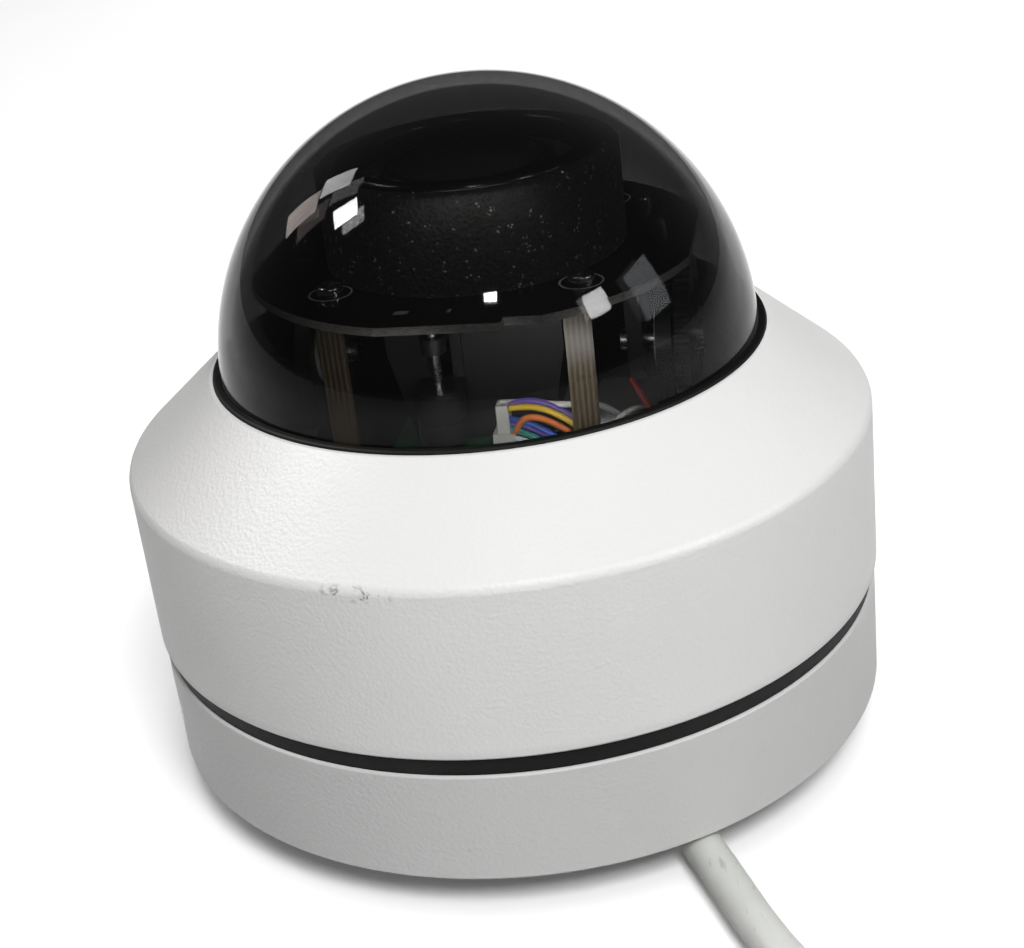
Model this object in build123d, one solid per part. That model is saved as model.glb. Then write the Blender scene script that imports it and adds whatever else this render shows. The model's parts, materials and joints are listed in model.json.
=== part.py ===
"""Vandal-dome pan, tilt and zoom camera with a surface bracket and a network lead.

Millimetres, +Z up. The camera stands on its mounting bracket, dome upwards, as on a bench.
The origin is on the pan axis, at the bottom face of the bracket. Front is -Y, right is +X.
"""

import os
from math import atan2, cos, degrees, pi, radians, sin, sqrt, tan

from build123d import *

# ---------------------------------------------------------------- driving dimensions
RUN = 0.06             # radial running clearance of a shaft or pin in its bore
FIT = 0.05             # radial clearance of a screw in its hole, or of a part in its seat

BRACKET_R = 56.0       # surface bracket
BRACKET_H = 8.0
BRACKET_FLOOR = 2.5
BRACKET_WALL = 3.0
BOLT_CIRCLE_D = 94.0   # ceiling screws
BOLT_HOLE_R = 2.25
BASE_SCREW_CIRCLE_R = 38.0

BODY_R = 72.5          # white base ring
BASE_H = 22.2
BASE_WALL = 3.0
BASE_FLOOR = 3.5
SEAM_H = 3.7           # black seal that shows between base and housing
SEAM_INSET = 0.5
HOUSING_OVERHANG = 0.5 # the upper housing stands this far over the base
HOUSING_R = BODY_R + HOUSING_OVERHANG
HOUSING_WALL = 3.0
HOUSING_SIDE_H = 33.1
SHOULDER_FILLET = 2.5
CONE_H = 15.8

DOME_R = 52.3          # smoked dome
DOME_WALL = 2.5
GASKET_GAP = 1.5       # between dome and rim, filled by the gasket
RIM_LIP = 0.65
RIM_R = DOME_R + GASKET_GAP + RIM_LIP   # sharp upper rim of the cone
DOME_BELOW_RIM = 1.7   # the dome's centre lies this far below the rim
DOME_FLANGE_R = DOME_R + 3.2
DOME_FLANGE_T = 2.0
DOME_SKIRT_H = 8.5     # from the dome's centre down to the flange's underside
GASKET_T = 1.4
GASKET_PROUD = 0.6
CLAMP_T = 2.0          # ring that clamps the dome
CLAMP_SCREW_R = DOME_FLANGE_R + 3.3
LINER_R = DOME_R - 1.7 # black shroud around the moving camera
LINER_WALL = 1.6

DECK_R = 62.2          # plate that carries the pan bearing
DECK_T = 2.5
DECK_Z = 27.0
HUB_R = 12.0
HUB_BORE_R = 9.0
BUSH_WALL = 3.0

PAN_TEETH, PAN_PINION_TEETH, PAN_MODULE = 112, 14, 0.8
TILT_TEETH, TILT_PINION_TEETH, TILT_MODULE = 50, 12, 0.6
GEAR_T = 2.8
BACKLASH = 0.12
PRESSURE_ANGLE = 20.0
PARK_PAN = -12.0       # the camera head is parked turned a little to its right

TURNTABLE_R = 43.4
TURNTABLE_T = 2.5
ARM_X = 33.5           # inner face of each yoke arm
ARM_T = 3.0
ARM_W = 26.0
EAR_X = 28.0           # inner face of each ear of the tilting cradle
EAR_T = 3.0
EAR_R = 8.0
SHAFT_R = 2.5

LED_BOARD_Z = 20.5     # upper face of the lamp board, above the tilt axis
LED_BOARD_T = 1.6
LED_BOARD_R = 43.3
LED_BOARD_FRONT = 42.0
LED_BOARD_BACK = 36.0
LED_BOARD_SIDE = 41.3
FOAM_R = 28.6
FOAM_WALL = 3.6
FOAM_H = 18.2
BEZEL_R = 24.8
BEZEL_WALL = 3.4
BEZEL_H = 19.4
BARREL_R = 12.0        # lens tube below the lamp board
BARREL_WALL = 1.4
HEAD_R = 16.3          # wide front of the lens tube
FRONT_GLASS_R = 14.4
BLOCK_X = 17.0         # half width of the block around the lens tube
BLOCK_Y = 13.6
BLOCK_LOW = -13.5
BLOCK_WALL = 1.6
SENSOR_BOARD_T = 1.6
LENS_MOTOR_R = 4.7
LENS_MOTOR_Y = 19.0    # from the lens axis to each lens motor
LENS_MOTOR_X = 6.5
LENS_SCREW_R = 1.0

CABLE_R = 3.7
CABLE_Z = 3.75
COIL_R = 42.0          # middle of the coil's turns
COIL_H = 24.5

# ---------------------------------------------------------------- heights worked out
base_top = BRACKET_H + BASE_H
floor_top = BRACKET_H + BASE_FLOOR
housing_low = base_top + SEAM_H
shoulder_z = housing_low + HOUSING_SIDE_H
rim_z = shoulder_z + CONE_H
dome_z = rim_z - DOME_BELOW_RIM
tilt_z = dome_z
flange_low = dome_z - DOME_SKIRT_H
flange_top = flange_low + DOME_FLANGE_T
ledge_z = flange_top + GASKET_T
clamp_low = flange_low - CLAMP_T
deck_top = DECK_Z + DECK_T
flange_bush_t = 1.3
gear_low = deck_top + flange_bush_t + 0.4
gear_top = gear_low + GEAR_T
turntable_top = gear_top + TURNTABLE_T
cone_slope = CONE_H / (HOUSING_R - RIM_R)
pan_centres = PAN_MODULE * (PAN_TEETH + PAN_PINION_TEETH) / 2
tilt_centres = TILT_MODULE * (TILT_TEETH + TILT_PINION_TEETH) / 2
ARM_TOP_R = ARM_W / 2 - 3.0


# ---------------------------------------------------------------- small makers
def disc(r, z0, z1, x=0.0, y=0.0):
    return Pos(x, y, (z0 + z1) / 2) * Cylinder(r, z1 - z0)


def ring(r_in, r_out, z0, z1, x=0.0, y=0.0):
    return disc(r_out, z0, z1, x, y) - disc(r_in, z0 - 1, z1 + 1, x, y)


def block(x0, x1, y0, y1, z0, z1):
    return Pos((x0 + x1) / 2, (y0 + y1) / 2, (z0 + z1) / 2) * Box(x1 - x0, y1 - y0, z1 - z0)


def rod_x(r, x0, x1, y=0.0, z=0.0):
    return Pos((x0 + x1) / 2, y, z) * Rot(0, 90, 0) * Cylinder(r, x1 - x0)


def turned(points):
    """Solid of revolution about Z from (radius, height) corners."""
    outline = Polyline(*[(r, 0, z) for r, z in points], close=True)
    return revolve(make_face(outline), Axis.Z, 360)


def around(r, angles):
    return [(r * cos(radians(a)), r * sin(radians(a))) for a in angles]


def join(parts):
    whole = parts[0]
    for part in parts[1:]:
        whole = whole + part
    return whole


def cut(shape, tools):
    for tool in tools:
        shape = shape - tool
    return shape


def circle_edges(shape, r, z):
    return [e for e in shape.edges().filter_by(GeomType.CIRCLE)
            if abs(e.radius - r) < 0.01 and abs(e.center().Z - z) < 0.01]


def write(name, shape, place=None):
    """Each sub-part is one STEP: a single solid, or a group of separate ones."""
    solids = shape if isinstance(shape, list) else list(shape.solids())
    if place is not None:
        solids = [place * s for s in solids]
    solids = [s for item in solids for s in item.solids()]
    export_step(solids[0] if len(solids) == 1 else Compound(children=solids), f"parts/{name}.step")


def involute_gear(teeth, module, r_in, z0, z1, turn):
    """Spur gear with involute flanks and a tooth centred on the angle turn."""
    pitch = module * teeth / 2
    base = pitch * cos(radians(PRESSURE_ANGLE))
    tip = pitch + 0.85 * module
    root = pitch - 1.2 * module
    inv = tan(radians(PRESSURE_ANGLE)) - radians(PRESSURE_ANGLE)
    half = pi / (2 * teeth) - BACKLASH / (2 * pitch)
    start = max(base, root + 0.01)
    flank = []
    steps = 4
    for i in range(steps + 1):
        r = start + (tip - start) * i / steps
        spread = sqrt(max((r / base) ** 2 - 1, 0))
        flank.append((r, half + inv - (spread - atan2(spread, 1))))
    points = []
    for k in range(teeth):
        middle = radians(turn) + 2 * pi * k / teeth
        polar = [(root, middle - flank[0][1])]
        polar += [(r, middle - a) for r, a in flank]
        polar += [(r, middle + a) for r, a in reversed(flank)]
        polar += [(root, middle + flank[0][1])]
        points += [(r * cos(a), r * sin(a)) for r, a in polar]
    face = make_face(Polyline(*points, close=True))
    gear = Pos(0, 0, z0) * extrude(face, z1 - z0)
    return gear - disc(r_in, z0 - 1, z1 + 1)


def screw(head_r, head_h, shank_r, length, socket=True):
    """Pan-head screw standing on Z = 0, head up, shank down."""
    head = Cylinder(head_r, head_h, align=(Align.CENTER, Align.CENTER, Align.MIN))
    head = fillet(circle_edges(head, head_r, head_h), head_h * 0.45)
    body = head + Cylinder(shank_r, length, align=(Align.CENTER, Align.CENTER, Align.MAX))
    if socket:
        depth = head_h * 0.6
        for turn in (0, 90):
            body -= Pos(0, 0, head_h - depth / 2) * Rot(0, 0, turn) * Box(head_r * 1.1, head_r * 0.28, depth)
    return body


# ---------------------------------------------------------------- places shared by parts
CABLE_HEADING = -74.6                      # direction in which the cable leaves
cable_dir = Vector(cos(radians(CABLE_HEADING)), sin(radians(CABLE_HEADING)), 0)
boot_end = Vector(23.0, -46.0, CABLE_Z)
BOOT_L = 24.0
BOOT_W = 12.0
boot_start = boot_end - cable_dir * BOOT_L
BOOT_STUB_R = 5.6

SLOT_ANGLE = -62.0                         # where the cable slot crosses the bracket's rim
bolt_angles = [SLOT_ANGLE + a for a in (60, 180, 300)]
housing_screw_angles = (0, 120, 240)
HOUSING_SCREW_R = 66.0
HOUSING_POST_R = 3.4
deck_post_angles = (45, 135, 225, 315)
DECK_POST_R = 57.5
pan_motor_xy = (0.0, pan_centres)
PAN_MOTOR_R = 11.0
BOARD_Z = 18.5
BOARD_R = 54.0
standoff_xy = around(49.0, (15, 150, 262))


def on_boot(shape):
    """Place something drawn along +X from the elbow of the cable boot."""
    return Pos(boot_start.X, boot_start.Y, 0) * Rot(0, 0, CABLE_HEADING) * shape


# ---------------------------------------------------------------- bracket and base
def mounting_bracket():
    plate = disc(BRACKET_R, 0, BRACKET_FLOOR) + ring(BRACKET_R - BRACKET_WALL, BRACKET_R, 0, BRACKET_H)
    bosses = [disc(4.2, 0, BRACKET_H, x, y) for x, y in around(BASE_SCREW_CIRCLE_R, bolt_angles)]
    ribs = [Rot(0, 0, a + 60) * block(20, BRACKET_R - 1, -1, 1, 0, BRACKET_H - 3) for a in bolt_angles[:2]]
    plate = join([plate] + bosses + ribs)
    plate = plate - disc(18, -1, BRACKET_H + 1)
    half = BOOT_W / 2 + 1
    slot = on_boot(block(-8, BRACKET_R, -half, half, -1, BRACKET_H + 1))
    holes = [disc(BOLT_HOLE_R, -1, BRACKET_H, x, y) for x, y in around(BOLT_CIRCLE_D / 2, bolt_angles)]
    taps = [disc(1.6, 2.0, BRACKET_H + 1, x, y) for x, y in around(BASE_SCREW_CIRCLE_R, bolt_angles)]
    return cut(plate, [slot] + holes + taps)


def mounting_base():
    tub = disc(BODY_R, BRACKET_H, base_top) - disc(BODY_R - BASE_WALL, floor_top, base_top + 1)
    tub = chamfer(circle_edges(tub, BODY_R, BRACKET_H), 0.6)
    tub = fillet(circle_edges(tub, BODY_R, base_top), 0.5)
    posts = [disc(HOUSING_POST_R, floor_top - 0.5, base_top, x, y)
             for x, y in around(HOUSING_SCREW_R, housing_screw_angles)]
    posts += [disc(3.4, floor_top - 0.5, DECK_Z, x, y) for x, y in around(DECK_POST_R, deck_post_angles)]
    posts += [disc(2.8, floor_top - 0.5, BOARD_Z, x, y) for x, y in standoff_xy]
    tub = join([tub] + posts)
    tools = [disc(1.5 + FIT, 0, base_top + 1, x, y) for x, y in around(HOUSING_SCREW_R, housing_screw_angles)]
    tools += [disc(3.0, 0, BRACKET_H + 2.9, x, y) for x, y in around(HOUSING_SCREW_R, housing_screw_angles)]
    tools += [disc(1.25, DECK_Z - 8, DECK_Z + 1, x, y) for x, y in around(DECK_POST_R, deck_post_angles)]
    tools += [disc(1.0, BOARD_Z - 5, BOARD_Z + 1, x, y) for x, y in standoff_xy]
    tools += [disc(1.6 + FIT, 0, floor_top + 1, x, y) for x, y in around(BASE_SCREW_CIRCLE_R, bolt_angles)]
    tools += [disc(BOOT_STUB_R + FIT, 0, floor_top + 1, boot_start.X, boot_start.Y)]
    tools += [lock_screw_tool()]
    return cut(tub, tools)


LOCK_Z = BRACKET_H + BASE_H / 2
LOCK_ANGLE = 196.0
LOCK_HEAD_R = 2.6


def lock_screw_tool():
    seat = rod_x(LOCK_HEAD_R + FIT, BODY_R - 1.6, BODY_R + 1)
    hole = rod_x(1.5 + FIT, BODY_R - BASE_WALL - 1, BODY_R)
    return Pos(0, 0, LOCK_Z) * Rot(0, 0, LOCK_ANGLE) * (seat + hole)


def lock_screw():
    """Security screw that keeps the base ring on the bracket's bayonet."""
    head = rod_x(LOCK_HEAD_R, BODY_R - 1.6, BODY_R - 0.1)
    shank = rod_x(1.5, BODY_R - BASE_WALL - 1.5, BODY_R - 1.6)
    pin = rod_x(0.5, BODY_R - 1.0, BODY_R)
    star = join([Rot(a, 0, 0) * Pos(BODY_R, 0, 0) * Box(2.0, 2.6, 0.7) for a in (0, 60, 120)])
    return Pos(0, 0, LOCK_Z) * Rot(0, 0, LOCK_ANGLE) * ((head + shank - star) + pin)


def base_seal():
    seal = ring(HOUSING_SCREW_R - HOUSING_POST_R - 0.1, BODY_R - SEAM_INSET, base_top, housing_low)
    holes = [disc(1.8, base_top - 1, housing_low + 1, x, y)
             for x, y in around(HOUSING_SCREW_R, housing_screw_angles)]
    return cut(seal, holes)


# ---------------------------------------------------------------- housing and dome
def cone_inner_r(z):
    """Radius of the cone's inner face at a height."""
    normal = sqrt(1 + cone_slope ** 2)
    return RIM_R + (rim_z - z) / cone_slope - HOUSING_WALL * normal / cone_slope


def upper_housing():
    inner = HOUSING_R - HOUSING_WALL
    bore = DOME_R + GASKET_GAP
    knee = rim_z - (HOUSING_WALL * sqrt(1 + cone_slope ** 2) + (inner - RIM_R) * cone_slope)
    shell = turned([(inner, housing_low), (HOUSING_R, housing_low), (HOUSING_R, shoulder_z), (RIM_R, rim_z),
                    (bore, rim_z), (bore, ledge_z), (cone_inner_r(ledge_z), ledge_z), (inner, knee)])
    shell = fillet(circle_edges(shell, HOUSING_R, shoulder_z), SHOULDER_FILLET)
    shell = fillet(circle_edges(shell, HOUSING_R, housing_low), 0.5)
    posts = [disc(HOUSING_POST_R, housing_low, housing_low + 16, x, y)
             for x, y in around(HOUSING_SCREW_R, housing_screw_angles)]
    bosses = [disc(2.5, flange_low, ledge_z + 0.4, x, y) for x, y in around(CLAMP_SCREW_R, deck_post_angles)]
    shell = join([shell] + posts + bosses)
    taps = [disc(1.5 + FIT, housing_low - 1, housing_low + 12, x, y)
            for x, y in around(HOUSING_SCREW_R, housing_screw_angles)]
    taps += [disc(1.0 + FIT, flange_low - 1, flange_low + 3.2, x, y)
             for x, y in around(CLAMP_SCREW_R, deck_post_angles)]
    return cut(shell, taps)


def dome_gasket():
    band = ring(DOME_R + FIT, DOME_R + GASKET_GAP - FIT, ledge_z, rim_z + GASKET_PROUD)
    band = fillet(circle_edges(band, DOME_R + GASKET_GAP - FIT, rim_z + GASKET_PROUD), 0.5)
    return band + ring(DOME_R + FIT, DOME_FLANGE_R, flange_top, ledge_z)


def dome_cover():
    """Half sphere on a short skirt, with the flange that is clamped."""
    inner = DOME_R - DOME_WALL
    ball = Pos(0, 0, dome_z) * (Sphere(DOME_R) - Sphere(inner))
    half = ball & Pos(0, 0, dome_z + DOME_R) * Box(3 * DOME_R, 3 * DOME_R, 2 * DOME_R)
    skirt = ring(inner, DOME_R, flange_low, dome_z)
    return half + skirt + ring(inner, DOME_FLANGE_R, flange_low, flange_top)


def dome_clamp_ring():
    plate = ring(DOME_R - DOME_WALL + 0.4, CLAMP_SCREW_R + 2.5, clamp_low, flange_low)
    return cut(plate, [disc(1.3, clamp_low - 1, flange_low + 1, x, y)
                       for x, y in around(CLAMP_SCREW_R, deck_post_angles)])


def inner_liner():
    flange_r = CLAMP_SCREW_R - 2.6
    low = turntable_top
    wall = ring(LINER_R, LINER_R + LINER_WALL, low, clamp_low)
    wall = wall + ring(LINER_R, flange_r, clamp_low - 1.6, clamp_low)
    return wall


# ---------------------------------------------------------------- inside the base
def deck():
    plate = disc(DECK_R, DECK_Z, deck_top)
    tools = [disc(HUB_R + RUN + BUSH_WALL, 0, 99)]
    tools += [disc(1.6, 0, 99, x, y) for x, y in around(DECK_POST_R, deck_post_angles)]
    tools += [disc(4.0, 0, 99, *pan_motor_xy)]
    tools += [disc(1.3, 0, 99, pan_motor_xy[0] + dx, pan_motor_xy[1]) for dx in (-8.5, 8.5)]
    tools += [block(-DECK_R + 3, -48, -10, 22, 0, 99)]
    return cut(plate, tools)


def pan_bush():
    bore = HUB_R + RUN
    sleeve = ring(bore, bore + BUSH_WALL, DECK_Z - 0.6, deck_top)
    return sleeve + ring(bore, bore + BUSH_WALL + 3, deck_top, deck_top + flange_bush_t)


def pan_motor():
    x, y = pan_motor_xy
    low = floor_top + 0.8
    can = disc(PAN_MOTOR_R, low, DECK_Z - 0.8, x, y)
    can = fillet(circle_edges(can, PAN_MOTOR_R, low), 1.0)
    ears = block(x - 10.5, x + 10.5, y - 3, y + 3, DECK_Z - 0.8, DECK_Z)
    collar = disc(3.9, DECK_Z - 0.8, DECK_Z + 1.5, x, y)
    body = join([can, ears, collar])
    body -= disc(1.0 + RUN, low + 4, 99, x, y)
    return cut(body, [disc(1.05, DECK_Z - 3, 99, x + dx, y) for dx in (-8.5, 8.5)])


def pan_pinion():
    x, y = pan_motor_xy
    gear = involute_gear(PAN_PINION_TEETH, PAN_MODULE, 0.01, gear_low, gear_top, 270)
    hub = disc(3.0, gear_low - 1.4, gear_low)
    shaft = disc(1.0, floor_top + 6, gear_top)
    return Pos(x, y, 0) * join([gear, hub, shaft])


def main_board():
    plate = disc(BOARD_R, BOARD_Z, BOARD_Z + 1.6)
    tools = [disc(14, 0, 99), disc(PAN_MOTOR_R + 1.2, 0, 99, *pan_motor_xy)]
    tools += [disc(4.4, 0, 99, x, y) for x, y in around(DECK_POST_R, deck_post_angles)]
    tools += [disc(1.1, 0, 99, x, y) for x, y in standoff_xy]
    return cut(plate, tools)


board_top = BOARD_Z + 1.6


def board_components():
    """Chips, power coil and capacitors of the main board."""
    chips = [(-24, -16, 14, 1.4), (22, -20, 10, 1.2), (26, 14, 9, 1.4), (-24, 20, 7, 1.0), (0, -34, 8, 1.2)]
    parts = [block(x - s / 2, x + s / 2, y - s / 2, y + s / 2, board_top, board_top + h) for x, y, s, h in chips]
    coil = block(30, 42, -8, 4, board_top, board_top + 5.4)
    cans = [disc(3.1, board_top, board_top + 5.6, x, y) for x, y in ((38, 26), (30, 34), (20, -38))]
    return parts + [coil] + cans


CARD_Y = -3.0
CARD_W = 11.0
CARD_L = 15.0
CARD_T = 1.0
card_z = board_top + 0.8
card_x = -55.0          # outer end of the card when it is home


def card_slot():
    shell = block(-52.6, -38.0, CARD_Y - 7, CARD_Y + 7, board_top, board_top + 2.6)
    pocket = block(-60, card_x + CARD_L + 0.3, CARD_Y - CARD_W / 2 - 0.2, CARD_Y + CARD_W / 2 + 0.2,
                   card_z - 0.2, card_z + CARD_T + 0.2)
    return shell - pocket


def memory_card():
    card = block(card_x, card_x + CARD_L, CARD_Y - CARD_W / 2, CARD_Y + CARD_W / 2, card_z, card_z + CARD_T)
    corner = Pos(card_x + CARD_L, CARD_Y - CARD_W / 2, card_z) * Rot(0, 0, 45) * Box(3, 3, 4)
    return card - corner


BUTTON_X, BUTTON_Y = -50.0, 14.5
BUTTON_R = 1.75
BUTTON_TRAVEL = 0.5


def reset_switch():
    body = block(BUTTON_X - 3, BUTTON_X + 3, BUTTON_Y - 3, BUTTON_Y + 3, board_top, board_top + 3.6)
    return body - disc(BUTTON_R + RUN, board_top + 1.0, 99, BUTTON_X, BUTTON_Y)


def reset_button():
    return disc(BUTTON_R, board_top + 1.0 + BUTTON_TRAVEL + 0.1, deck_top, BUTTON_X, BUTTON_Y)


# ---------------------------------------------------------------- pan body
def pan_gear():
    face_turn = 90 + 180 / PAN_TEETH
    return involute_gear(PAN_TEETH, PAN_MODULE, HUB_R + 18, gear_low, gear_top, face_turn)


def turntable():
    plate = disc(TURNTABLE_R, gear_top, turntable_top)
    hub = disc(HUB_R, DECK_Z - 3.4, gear_top)
    collar = disc(HUB_R + 5, deck_top + flange_bush_t + 0.2, gear_top)
    body = join([plate, hub, collar]) - disc(HUB_BORE_R, 0, 99)
    body -= ring(HUB_R - 0.8, HUB_R + 1, DECK_Z - 2.4, DECK_Z - 1.2)
    slots = [block(-6, 6, s * 30 - 3, s * 30 + 3, 0, 99) for s in (-1, 1)]
    taps = [disc(1.05, gear_top - 1, 99, s * arm_foot_x, y) for s in (-1, 1) for y in (-9, 9)]
    return cut(body, slots + taps)


def hub_clip():
    """Snap ring in the hub's groove, which keeps the turntable down on its bush."""
    clip = ring(HUB_R - 0.8 + 0.02, HUB_R + 3, DECK_Z - 2.35, DECK_Z - 1.25)
    return clip - block(-2.5, 2.5, -HUB_R - 5, -HUB_R + 3, 0, 99)


ARM_FOOT_L = 9.0
arm_foot_x = ARM_X - ARM_FOOT_L / 2 + 1.0


def yoke_arm(side):
    """Arm with a foot, a rounded head, a lightening window and the bush seat."""
    plate = block(ARM_X, ARM_X + ARM_T, -ARM_W / 2, ARM_W / 2, turntable_top, tilt_z - 12)
    neck = block(ARM_X, ARM_X + ARM_T, -ARM_TOP_R, ARM_TOP_R, tilt_z - 12, tilt_z)
    head = rod_x(ARM_TOP_R, ARM_X, ARM_X + ARM_T, 0, tilt_z)
    foot = block(ARM_X - ARM_FOOT_L, ARM_X + ARM_T, -ARM_W / 2, ARM_W / 2, turntable_top, turntable_top + 2.5)
    arm = join([plate, neck, head, foot])
    tools = [rod_x(SHAFT_R + RUN + 1.8, 0, 60, 0, tilt_z)]
    tools += [disc(1.3, 0, 99, arm_foot_x, y) for y in (-9, 9)]
    if side > 0:
        motor_z = tilt_z - tilt_centres
        tools += [rod_x(3.2, 0, 60, 0, motor_z)]
        tools += [rod_x(1.1, 0, 60, y, motor_z) for y in (-8.2, 8.2)]
    else:
        tools += [block(0, 60, -6, 6, turntable_top + 10, tilt_z - 18)]
    arm = cut(arm, tools)
    return arm if side > 0 else mirror(arm, Plane.YZ)


def tilt_bushes():
    bush = rod_x(SHAFT_R + RUN + 1.8 - 0.02, ARM_X, ARM_X + ARM_T, 0, tilt_z)
    bush += rod_x(SHAFT_R + 3.6, ARM_X - 0.7, ARM_X, 0, tilt_z)
    bush -= rod_x(SHAFT_R + RUN, 0, 60, 0, tilt_z)
    return [bush, mirror(bush, Plane.YZ)]


def yoke_screws():
    one = screw(2.0, 1.5, 1.0, 4.0)
    return [Pos(s * arm_foot_x, y, turntable_top + 2.5) * one for s in (-1, 1) for y in (-9, 9)]


TILT_MOTOR_R = 9.5
TILT_MOTOR_L = 12.5


def tilt_motor():
    z = tilt_z - tilt_centres
    can = rod_x(TILT_MOTOR_R, ARM_X - TILT_MOTOR_L, ARM_X - 0.8, 0, z)
    ears = block(ARM_X - 0.8, ARM_X, -10.6, 10.6, z - 3, z + 3)
    collar = rod_x(3.1, ARM_X - 0.8, ARM_X + 1.2, 0, z)
    body = join([can, ears, collar]) - rod_x(1.0 + RUN, ARM_X - 9, 60, 0, z)
    return cut(body, [rod_x(0.9, ARM_X - 3, 60, y, z) for y in (-8.2, 8.2)])


GEAR_X = ARM_X + ARM_T + 1.0


def flat_gear(teeth, bore, turn):
    """Gear whose axis is turned to X; turn is measured from +Y towards +Z."""
    gear = involute_gear(teeth, TILT_MODULE, bore, 0, GEAR_T, turn)
    return Pos(GEAR_X, 0, 0) * Rot(0, 90, 0) * Rot(0, 0, 90) * gear


def tilt_pinion():
    z = tilt_z - tilt_centres
    gear = Pos(0, 0, z) * flat_gear(TILT_PINION_TEETH, 0.01, 90)
    return gear + rod_x(1.0, ARM_X - 8.5, GEAR_X + GEAR_T, 0, z)


def tilt_gear():
    """Gear on the right trunnion, with a gap between teeth facing the pinion."""
    gear = Pos(0, 0, tilt_z) * flat_gear(TILT_TEETH, SHAFT_R + FIT, 270 + 180 / TILT_TEETH)
    windows = [Rot(a, 0, 0) * Pos(GEAR_X + GEAR_T / 2, 0, 9) * Rot(0, 90, 0) * Cylinder(2.4, 9)
               for a in range(30, 390, 60)]
    return cut(gear, [Pos(0, 0, tilt_z) * w for w in windows])


# ---------------------------------------------------------------- tilt body, heights above the tilt axis
def tilt_cradle():
    """Plate under the lamp board with two ears that hang down to the tilt axis."""
    top = LED_BOARD_Z - LED_BOARD_T
    low = top - 2.2
    plate = disc(EAR_X + EAR_T, low, top) & block(-EAR_X - EAR_T, EAR_X + EAR_T, -22, 22, low, top)
    plate = plate - disc(HEAD_R + 0.6, low - 1, top + 1)
    ears = []
    for s in (-1, 1):
        x0, x1 = sorted((s * EAR_X, s * (EAR_X + EAR_T)))
        ears.append(block(x0, x1, -EAR_R, EAR_R, 0, top))
        ears.append(rod_x(EAR_R, x0, x1))
    feet = [disc(2.6, low, top, x, y) for x, y in led_screw_xy]
    arms = [Rot(0, 0, degrees(atan2(y, x))) * block(HEAD_R + 2, sqrt(x * x + y * y), -2.2, 2.2, low, top)
            for x, y in led_screw_xy]
    body = join([plate] + ears + feet + arms)
    body = body - rod_x(SHAFT_R, -60, 60)
    return cut(body, [disc(1.05, low - 1, top + 1, x, y) for x, y in led_screw_xy])


LED_SCREW_X, LED_SCREW_Y = 23.0, 23.5
led_screw_xy = [(-LED_SCREW_X, -LED_SCREW_Y), (LED_SCREW_X, -LED_SCREW_Y),
                (-LED_SCREW_X, LED_SCREW_Y), (LED_SCREW_X, LED_SCREW_Y)]


def led_board():
    low = LED_BOARD_Z - LED_BOARD_T
    plate = disc(LED_BOARD_R, low, LED_BOARD_Z)
    plate &= block(-LED_BOARD_SIDE, LED_BOARD_SIDE, -LED_BOARD_FRONT, LED_BOARD_BACK, low, LED_BOARD_Z)
    step = block(11.5, 60, -60, -LED_BOARD_FRONT + 2.6, 0, 99)
    tools = [step, disc(HEAD_R + 0.3, 0, 99)]
    tools += [disc(1.2, 0, 99, x, y) for x, y in led_screw_xy]
    return cut(plate, tools)


def led_board_screws():
    return [Pos(x, y, LED_BOARD_Z) * screw(2.4, 1.7, 1.0, 3.6) for x, y in led_screw_xy]


led_angles = (108, 150, 176, 4, 30, 72)


def led_emitters():
    """Infrared emitters on the back half of the lamp board."""
    lamps = []
    for x, y in around(34.5, led_angles):
        body = disc(2.5, LED_BOARD_Z, LED_BOARD_Z + 1.2, x, y)
        lens = Pos(x, y, LED_BOARD_Z + 1.2) * Sphere(2.0)
        lamps.append(body + (lens & disc(3, LED_BOARD_Z + 1.2, LED_BOARD_Z + 4, x, y)))
    return lamps


def foam_shield():
    tube = ring(FOAM_R - FOAM_WALL, FOAM_R, LED_BOARD_Z, LED_BOARD_Z + FOAM_H)
    return fillet(circle_edges(tube, FOAM_R, LED_BOARD_Z + FOAM_H), 0.8)


def lens_bezel():
    top = LED_BOARD_Z + BEZEL_H
    tube = ring(BEZEL_R - BEZEL_WALL, BEZEL_R, LED_BOARD_Z, top)
    tube = fillet(circle_edges(tube, BEZEL_R, top), 1.5)
    return fillet(circle_edges(tube, BEZEL_R - BEZEL_WALL, top), 1.5)


INNER_FOAM_H = 15.0


def inner_foam():
    return ring(HEAD_R + 0.2, BEZEL_R - BEZEL_WALL - 0.2, LED_BOARD_Z, LED_BOARD_Z + INNER_FOAM_H)


head_top = LED_BOARD_Z + 17.0
head_low = LED_BOARD_Z - 4.6
barrel_low = -8.0


def lens_barrel():
    tube = ring(BARREL_R - BARREL_WALL, BARREL_R, barrel_low, head_low)
    head = disc(HEAD_R, head_low, head_top) - disc(BARREL_R - BARREL_WALL, head_low - 1, head_top - 4.6)
    head = head - disc(FRONT_GLASS_R + FIT, head_top - 4.6, head_top + 1)
    body = fillet(circle_edges(head, HEAD_R, head_top), 0.8) + tube
    slots = [lens_slot(s, s * LENS_MOTOR_X, 60, barrel_low + 1, head_low - 1) for s in (-1, 1)]
    return cut(body, slots)


ZOOM_Z, FOCUS_Z = 6.5, 0.0     # undersides of the two sliding lens rings
CARRIER_T = 3.0
CARRIER_BORE_R = 7.4


def lens_slot(side, x, reach, z0, z1):
    """Slot through which a lens carrier's arm reaches its lead screw, at the front or the back."""
    y0, y1 = sorted((0, side * reach))
    return block(x - 1.9, x + 1.9, y0, y1, z0, z1)


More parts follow.
